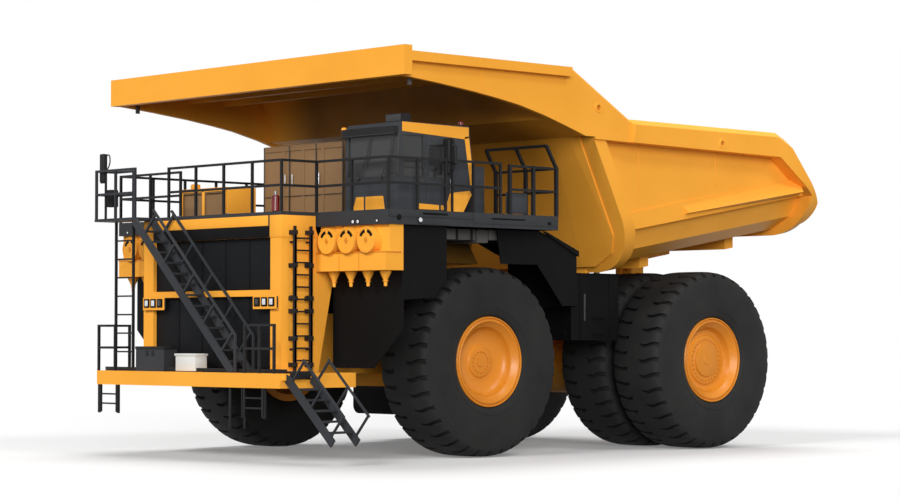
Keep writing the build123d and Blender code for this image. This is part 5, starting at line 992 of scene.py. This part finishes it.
def cab_trim_parts():
    """Window rubbers, panel seams, wipers, roof louvres, grab handles and beacon lenses."""
    rubbers = window_rubber((2.73, 5.85), (4.15, 6.68), CAB_FACE_Y, False)
    rubbers += window_rubber((-5.29, 5.85), (-4.74, 6.68), CAB_SIDE_X, True)
    rubbers += window_rubber((-4.58, 5.85), (-4.08, 6.50), CAB_SIDE_X, True)
    for start, end in WINDOW_BARS:
        rubbers.append(block((CAB_SIDE_X + 0.002, *start), (CAB_SIDE_X + 0.010, *end), 0.002))
    rubbers.append(block((4.222, -5.438, 5.82), (4.268, -5.392, 6.70), 0.008))
    place("window_rubbers", rubbers, SEAL)
    seam_low, seam_high = CAB_SEAM_Z
    inner, outer = CAB_SIDE_X - 0.001, CAB_SIDE_X + 0.004
    seams = [
        block((inner, -4.675, 5.16), (outer, -4.662, 6.72), 0.001),
        block((2.66, CAB_FACE_Y - 0.004, seam_low), (4.22, CAB_FACE_Y, seam_high), 0.001),
        block((2.66, CAB_FACE_Y - 0.004, 5.52), (4.22, CAB_FACE_Y, 5.528), 0.001),
        block((inner, -5.40, seam_low), (outer, -3.40, seam_high), 0.001),
    ]
    place("cab_panel_seams", seams, SEAL)
    wipers = []
    for x in (3.05, 3.75):
        wipers.append(rod((x, -5.455, 5.80), (x + 0.30, -5.450, 6.36), 0.009, 8))
        wipers.append(rod((x + 0.22, -5.446, 6.02), (x + 0.33, -5.446, 6.62), 0.011, 8))
        wipers.append(rod((x, -5.432, 5.80), (x, -5.465, 5.80), 0.024, 12))
    place("windscreen_wipers", wipers, SEAL)
    shades = [
        block((2.66, -5.552, 6.690), (4.24, -5.40, 6.704), 0.004),
        block((3.79, -5.352, 6.96), (4.24, -5.336, 7.10), 0.004),
    ]
    for step in range(4):
        low = 6.975 + 0.03 * step
        shades.append(block((3.80, -5.345, low), (4.23, -5.334, low + 0.015), 0.002))
    place("roof_unit_louvres", shades, SEAL)
    rear_bends = [(4.262, -4.00, 5.55), (4.31, -4.00, 5.57), (4.31, -4.00, 5.80), (4.262, -4.00, 5.82)]
    front_bends = [(2.612, -5.36, 5.60), (2.56, -5.36, 5.62), (2.56, -5.36, 6.30), (2.612, -5.36, 6.32)]
    grips = [bent_tube(rear_bends, 0.013), bent_tube(front_bends, 0.013)]
    place("cab_grab_handles", grips, STEEL)
    amber = rod((2.53, -5.39, 6.71), (2.53, -5.39, 6.915), 0.056, 24, 0.02)
    place("front_beacon_lens", [amber], AMBER_LAMP)
    red = rod((4.15, -3.57, 6.955), (4.15, -3.57, 7.055), 0.066, 24, 0.02)
    place("rear_beacon_lens", [red], RED_LAMP)


def mirrors():
    """Rounded mirror housings with arms, and their glass towards the rear."""
    rack_arm = [(-3.15, -7.38, 6.50), (-3.02, -7.38, 6.60), (-2.98, -7.38, 6.30), (-3.13, -7.38, 6.20)]
    shells = [
        block((4.285, -4.205, 5.90), (4.470, -4.110, 6.64), 0.035, 3),
        block((4.52, -4.20, 6.10), (4.66, -4.13, 6.50), 0.03, 3),
        bent_tube([(4.505, -4.15, 6.60), (4.60, -4.16, 6.60), (4.60, -4.16, 6.45)], 0.014),
        bent_tube([(4.505, -4.15, 5.95), (4.59, -4.16, 5.97), (4.59, -4.16, 6.15)], 0.014),
        block((-3.335, -7.43, 5.94), (-3.168, -7.352, 6.57), 0.03, 3),
        bent_tube(rack_arm, 0.014),
        block((-3.30, -7.30, 5.40), (-3.06, -7.10, 5.78), 0.02),
    ]
    place("mirror_housings", shells, GREY)
    glass = [
        block((4.305, -4.112, 5.93), (4.450, -4.104, 6.61), 0.004),
        block((4.535, -4.132, 6.12), (4.645, -4.124, 6.48), 0.004),
        block((-3.322, -7.354, 5.97), (-3.182, -7.346, 6.54), 0.004),
    ]
    place("mirror_glass", glass, GLASS)


def deck_furniture():
    """Box behind the cab, the guard's lower panel, cabinet seams, box frames and the extinguisher."""
    boxes = [
        block((3.10, -3.235, DECK_TOP), (4.19, -2.91, 6.13), 0.02),
        block((4.46, -2.56, DECK_TOP + 0.02), (4.475, -1.92, 5.60), 0.004),
    ]
    place("deck_rear_box", boxes, CAB_GREY)
    seams = []
    for x in CABINET_SEAM_X:
        seams.append(block((x - 0.014, -4.540, 5.15), (x + 0.014, -4.526, 6.735), 0.002))
    seams.append(block((-1.14, -4.538, 5.62), (1.49, -4.528, 5.632), 0.002))
    place("cabinet_seams", seams, SEAL)
    handles = [rod((x, -4.56, 5.85), (x, -4.56, 6.10), 0.014, 10) for x in (-0.40, -0.16, 0.74)]
    place("cabinet_handles", handles, STEEL)
    frames = []
    for x in (-2.85, -2.07, -1.31):
        frames.append(block((x - 0.02, GRID_BOX_FACE_Y, 5.14), (x + 0.06, -5.526, 5.81), 0.006))
    frames.append(block((-2.86, GRID_BOX_FACE_Y, 5.75), (-1.24, -5.526, 5.825), 0.006))
    frames.append(block((-2.86, GRID_BOX_FACE_Y, 5.135), (-1.24, -5.526, 5.20), 0.006))
    frames.append(block((-2.86, -5.54, 5.815), (-1.24, -4.69, 5.835), 0.006))
    frames.append(block((-1.252, -5.52, 5.14), (-1.238, -4.70, 5.82), 0.004))
    frames.append(block((-2.60, -5.48, 5.83), (-2.44, -5.30, 5.95), 0.03))
    place("grid_box_frames", frames, YELLOW)
    bottle = rod((*BOTTLE_PLACE, 5.14), (*BOTTLE_PLACE, 5.50), 0.085, 24, 0.03)
    # The red lamp glass glows faintly, so the bottle has a painted glow though it is no lamp.
    place("fire_bottle", [bottle], RED_LAMP)
    neck = rod((*BOTTLE_PLACE, 5.50), (*BOTTLE_PLACE, 5.58), 0.03, 12)
    place("fire_bottle_neck", [neck], STEEL)


# Front frame and platform

def front_fascia():
    """Yellow fascia under the centre deck's edge, and the dark header above the radiator."""
    fascia = [
        block((-2.34, FASCIA_Y, 4.84), (1.93, FASCIA_Y + FASCIA_DEPTH, 5.055), 0.004),
        block((1.99, FASCIA_Y, 4.60), (2.352, FASCIA_Y + FASCIA_DEPTH, 5.055), 0.004),
        block((2.340, -6.94, 4.60), (2.366, -6.02, 5.055), 0.004),
    ]
    place("centre_deck_fascia", fascia, YELLOW)
    header = [block((-1.99, FASCIA_Y, 4.60), (1.985, FASCIA_Y + FASCIA_DEPTH, 4.835), 0.004)]
    place("radiator_header", header, BLACK)


def ladder_brackets():
    """Stand-off brackets and wider stiles of the near upright ladder."""
    pieces = []
    for y in (-6.69, -6.26):
        pieces.append(block((2.475, y - 0.035, 1.90), (2.525, y + 0.035, 4.74), 0.006))
        for z in LADDER_BRACKET_Z:
            pieces.append(block((2.345, y - 0.05, z - 0.045), (2.54, y + 0.05, z + 0.045), 0.006))
    place("ladder_brackets", pieces, GREY)


def platform_parts():
    """White switch box, box lid and latches, toe boards, bumper bolts and the hanging ladders' stiles."""
    white = [
        block((-0.535, -7.437, 1.83), (0.135, -7.115, 2.165), 0.012),
        block((-0.555, -7.455, 2.150), (0.155, -7.100, 2.200), 0.008),
    ]
    place("switch_box_cover", white, WHITE)
    lids = [
        block((-1.965, -7.445, 2.285), (-0.935, -7.065, 2.345), 0.008),
        *(block((x, -7.442, 2.14), (x + 0.10, -7.428, 2.26), 0.004) for x in (-1.60, -1.40)),
    ]
    toes = [
        block((-3.11, -7.40, 1.816), (3.10, -7.385, 1.90), 0.003),
        block((3.02, -7.34, 1.70), (3.20, -6.78, 1.86), 0.01),
    ]
    place("platform_toe_boards", lids + toes, GREY)
    bolts = []
    for x in (-2.95, -2.75, 2.75, 2.95):
        for z in (1.60, 1.73):
            bolts.append(rod((x, BUMPER_FACE_Y, z), (x, BUMPER_FACE_Y - 0.007, z), 0.022, 6))
    place("bumper_bolts", bolts, YELLOW)
    stiles = []
    for x in (-3.06, -2.44, 1.94, 2.56):
        stiles.append(block((x - 0.04, -7.585, 0.92), (x + 0.04, -7.535, 1.515), 0.006))
    stiles.append(block((1.93, -7.575, 0.69), (1.98, -7.545, 1.50), 0.006))
    stiles.append(block((1.45, -7.575, 0.67), (1.51, -7.545, 1.50), 0.006))
    place("hanging_ladder_stiles", stiles, GREY)


# Load body

def body_parts():
    """Collars of the lifting holes, weld beads and canopy brackets."""
    collars = []
    for x, y, z in LIFTING_HOLES:
        profile = [(x - 0.004, 0.062), (x + 0.014, 0.062), (x + 0.014, 0.105), (x - 0.004, 0.112)]
        collars.append(spun(profile + [profile[0]], (0, y, z), 40))
    place("lifting_hole_collars", both_sides(collars), YELLOW, "dump_body")
    welds = [
        weld((4.851, -3.63, 8.04), (4.851, -3.63, 7.63), 0.010),
        weld((4.902, 1.00, 7.26), (4.902, 1.00, 6.86), 0.012),
        weld((4.552, 1.50, 6.80), (4.552, 1.50, 5.62), 0.008),
        weld((4.552, 4.10, 6.80), (4.552, 4.10, 5.95), 0.008),
    ]
    place("body_weld_beads", both_sides(welds), YELLOW, "dump_body", 60)
    brackets = [block((4.60, -5.50, 7.66), (4.64, -5.40, 7.84), 0.006)]
    place("canopy_brackets", both_sides(brackets), BOX_GREY, "dump_body")


# Running gear, tanks, hoists and the rear

def sleeve(foot, run, start, end, inner, outer):
    """A collar round a bar that starts at a foot and runs along a direction."""
    profile = [
        (start, inner), (end, inner), (end, outer - 0.008), (end - 0.008, outer), (start + 0.008, outer),
        (start, outer - 0.008),
    ]
    piece = spun(profile + [profile[0]], steps=40)
    aimed(piece, run, "X", "Z")
    return moved(piece, foot)


def hoists():
    """Collars of the hoist barrels: gland, band and foot."""
    collars = [
        sleeve(HOIST_FOOT, HOIST_RUN, start, end, 0.168, outer)
        for start, end, outer in ((2.64, 2.765, 0.195), (1.30, 1.36, 0.182), (0.24, 0.32, 0.190))
    ]
    left = joined(collars, "hoist_collars_left")
    right = mirrored(left)
    right.name = "hoist_collars_right"
    fit_out(left, "hoist_barrel_left", BLACK)
    fit_out(right, "hoist_barrel_right", BLACK)


def struts():
    """Bands and charging blocks of the suspension struts."""
    bands = []
    for z in (2.50, 2.92, 3.24):
        low = (FRONT_STRUT_X, FRONT_AXLE_Y, z - 0.03)
        bands.append(rod(low, (FRONT_STRUT_X, FRONT_AXLE_Y, z + 0.03), 0.222, 40, 0.008))
    bands.append(block((1.64, FRONT_AXLE_Y - 0.06, 2.98), (1.70, FRONT_AXLE_Y + 0.06, 3.14), 0.012))
    for z in (3.10, 3.22):
        low = (REAR_STRUT_X, REAR_AXLE_Y, z - 0.025)
        bands.append(rod(low, (REAR_STRUT_X, REAR_AXLE_Y, z + 0.025), 0.163, 36, 0.006))
    place("strut_bands", both_sides(bands), BLACK)


def axle_cover():
    """Stepped round cover on the rear axle's back, with its plug and bolts."""
    cover = [
        rod((0, 4.66, AXLE_HEIGHT), (0, 4.855, AXLE_HEIGHT), 0.52, 64, 0.012),
        rod((0, 4.84, AXLE_HEIGHT), (0, 4.885, AXLE_HEIGHT), 0.36, 64, 0.010),
        rod((0, 4.88, AXLE_HEIGHT - 0.18), (0, 4.905, AXLE_HEIGHT - 0.18), 0.05, 24, 0.006),
    ]
    for turn in range(COVER_BOLTS):
        angle = math.tau * turn / COVER_BOLTS
        x = COVER_BOLT_CIRCLE * math.sin(angle)
        z = AXLE_HEIGHT + COVER_BOLT_CIRCLE * math.cos(angle)
        cover.append(rod((x, 4.85, z), (x, 4.878, z), 0.026, 6))
    place("rear_axle_cover", cover, YELLOW)


def tail_lamps():
    mounts = [block((0.60, 5.515, 3.22), (1.06, 5.545, 3.48), 0.010)]
    place("tail_lamp_plates", both_sides(mounts), BLACK)
    reds = [block((x, TAIL_LAMP_Y, 3.27), (x + 0.12, 5.565, 3.43), 0.015) for x in (0.64, 0.90)]
    place("tail_lamps_red", both_sides(reds), RED_LAMP)
    clear = [block((0.77, TAIL_LAMP_Y, 3.27), (0.89, 5.565, 3.43), 0.015)]
    place("tail_lamps_clear", both_sides(clear), CLEAR_LAMP)


def band_outline(x_low, x_high, z_low, z_high, radius):
    """The (x, z) points of a band round a tank with rounded edges."""
    points = []
    corners = ((x_high, z_low, -90), (x_high, z_high, 0), (x_low, z_high, 90), (x_low, z_low, 180))
    for x, z, first in corners:
        centre_x = x - radius if x == x_high else x + radius
        centre_z = z - radius if z == z_high else z + radius
        for step in range(5):
            angle = math.radians(first + 22.5 * step)
            points.append((centre_x + radius * math.cos(angle), centre_z + radius * math.sin(angle)))
    return points


def tanks():
    """Straps, filler caps, sight gauges, trims and grab rails of both tanks."""
    straps = []
    for y in (0.58, 1.42):
        outline = band_outline(-3.714, -1.735, 0.688, 2.914, 0.205)
        straps.append(front_panel(outline, y, 0.10, 0.003))
    straps.append(block((-3.735, 0.50, 1.55), (-3.700, 0.54, 2.20), 0.006))
    place("fuel_tank_straps", straps, GREY)
    caps = [
        rod((-3.20, 1.10, 2.895), (-3.20, 1.10, 2.975), 0.11, 32, 0.012),
        rod((3.25, 0.62, 3.945), (3.25, 0.62, 4.02), 0.10, 32, 0.012),
        rod((3.25, 1.52, 3.945), (3.25, 1.52, 4.00), 0.07, 32, 0.010),
    ]
    place("tank_filler_caps", caps, STEEL)
    gauges = [
        block((3.595, 0.72, 2.90), (3.618, 0.77, 3.50), 0.004),
        block((-3.722, 1.00, 1.10), (-3.696, 1.05, 2.30), 0.004),
    ]
    place("tank_sight_gauges", gauges, GLASS)
    trims = [block((1.69, 0.31, 3.925), (3.612, 1.872, 3.962), 0.006)]
    trims += [block((3.592, y, 2.49), (3.612, y + 0.04, 3.93), 0.004) for y in (0.60, 1.54)]
    trims.append(rod((3.40, 0.325, 2.62), (3.40, 0.290, 2.62), 0.05, 24, 0.006))
    for z in (2.62, 2.98):
        trims.append(bent_tube([(3.60, 1.02, z), (3.68, 1.02, z), (3.68, 1.36, z), (3.60, 1.36, z)], 0.016))
    place("hydraulic_tank_trims", trims, BLACK)


def deck_hatches():
    """Service hatches with lift handles on the deck, and weld lines over the canopy."""
    hatches = []
    handles = []
    for x, y in HATCH_PLACES:
        low = (x - 0.42, y - 0.36, DECK_TOP - 0.004)
        hatches.append(block(low, (x + 0.42, y + 0.36, DECK_TOP + 0.010), 0.004))
        bends = ((-0.09, 0.006), (-0.09, 0.045), (0.09, 0.045), (0.09, 0.006))
        handles.append(bent_tube([(x + across, y - 0.28, DECK_TOP + up) for across, up in bends], 0.008))
    place("deck_hatches", hatches, DECK_GREY)
    place("deck_hatch_handles", handles, STEEL)
    welds = [weld((-4.90, y, CANOPY_TOP), (4.90, y, CANOPY_TOP)) for y in (-4.75, -3.45, -2.15)]
    welds += [weld((x, -5.70, CANOPY_TOP), (x, -0.95, CANOPY_TOP)) for x in (-2.4, 0.0, 2.4)]
    place("canopy_welds", welds, YELLOW, "dump_body", 60)


studio()
dress_solids()
tyres()
rims()
under_deck()
deck_edges()
filter_parts()
radiator_guard()
head_lamps()
cab_stripes()
cab_trim_parts()
mirrors()
deck_furniture()
front_fascia()
ladder_brackets()
platform_parts()
body_parts()
hoists()
struts()
axle_cover()
tail_lamps()
tanks()
deck_hatches()
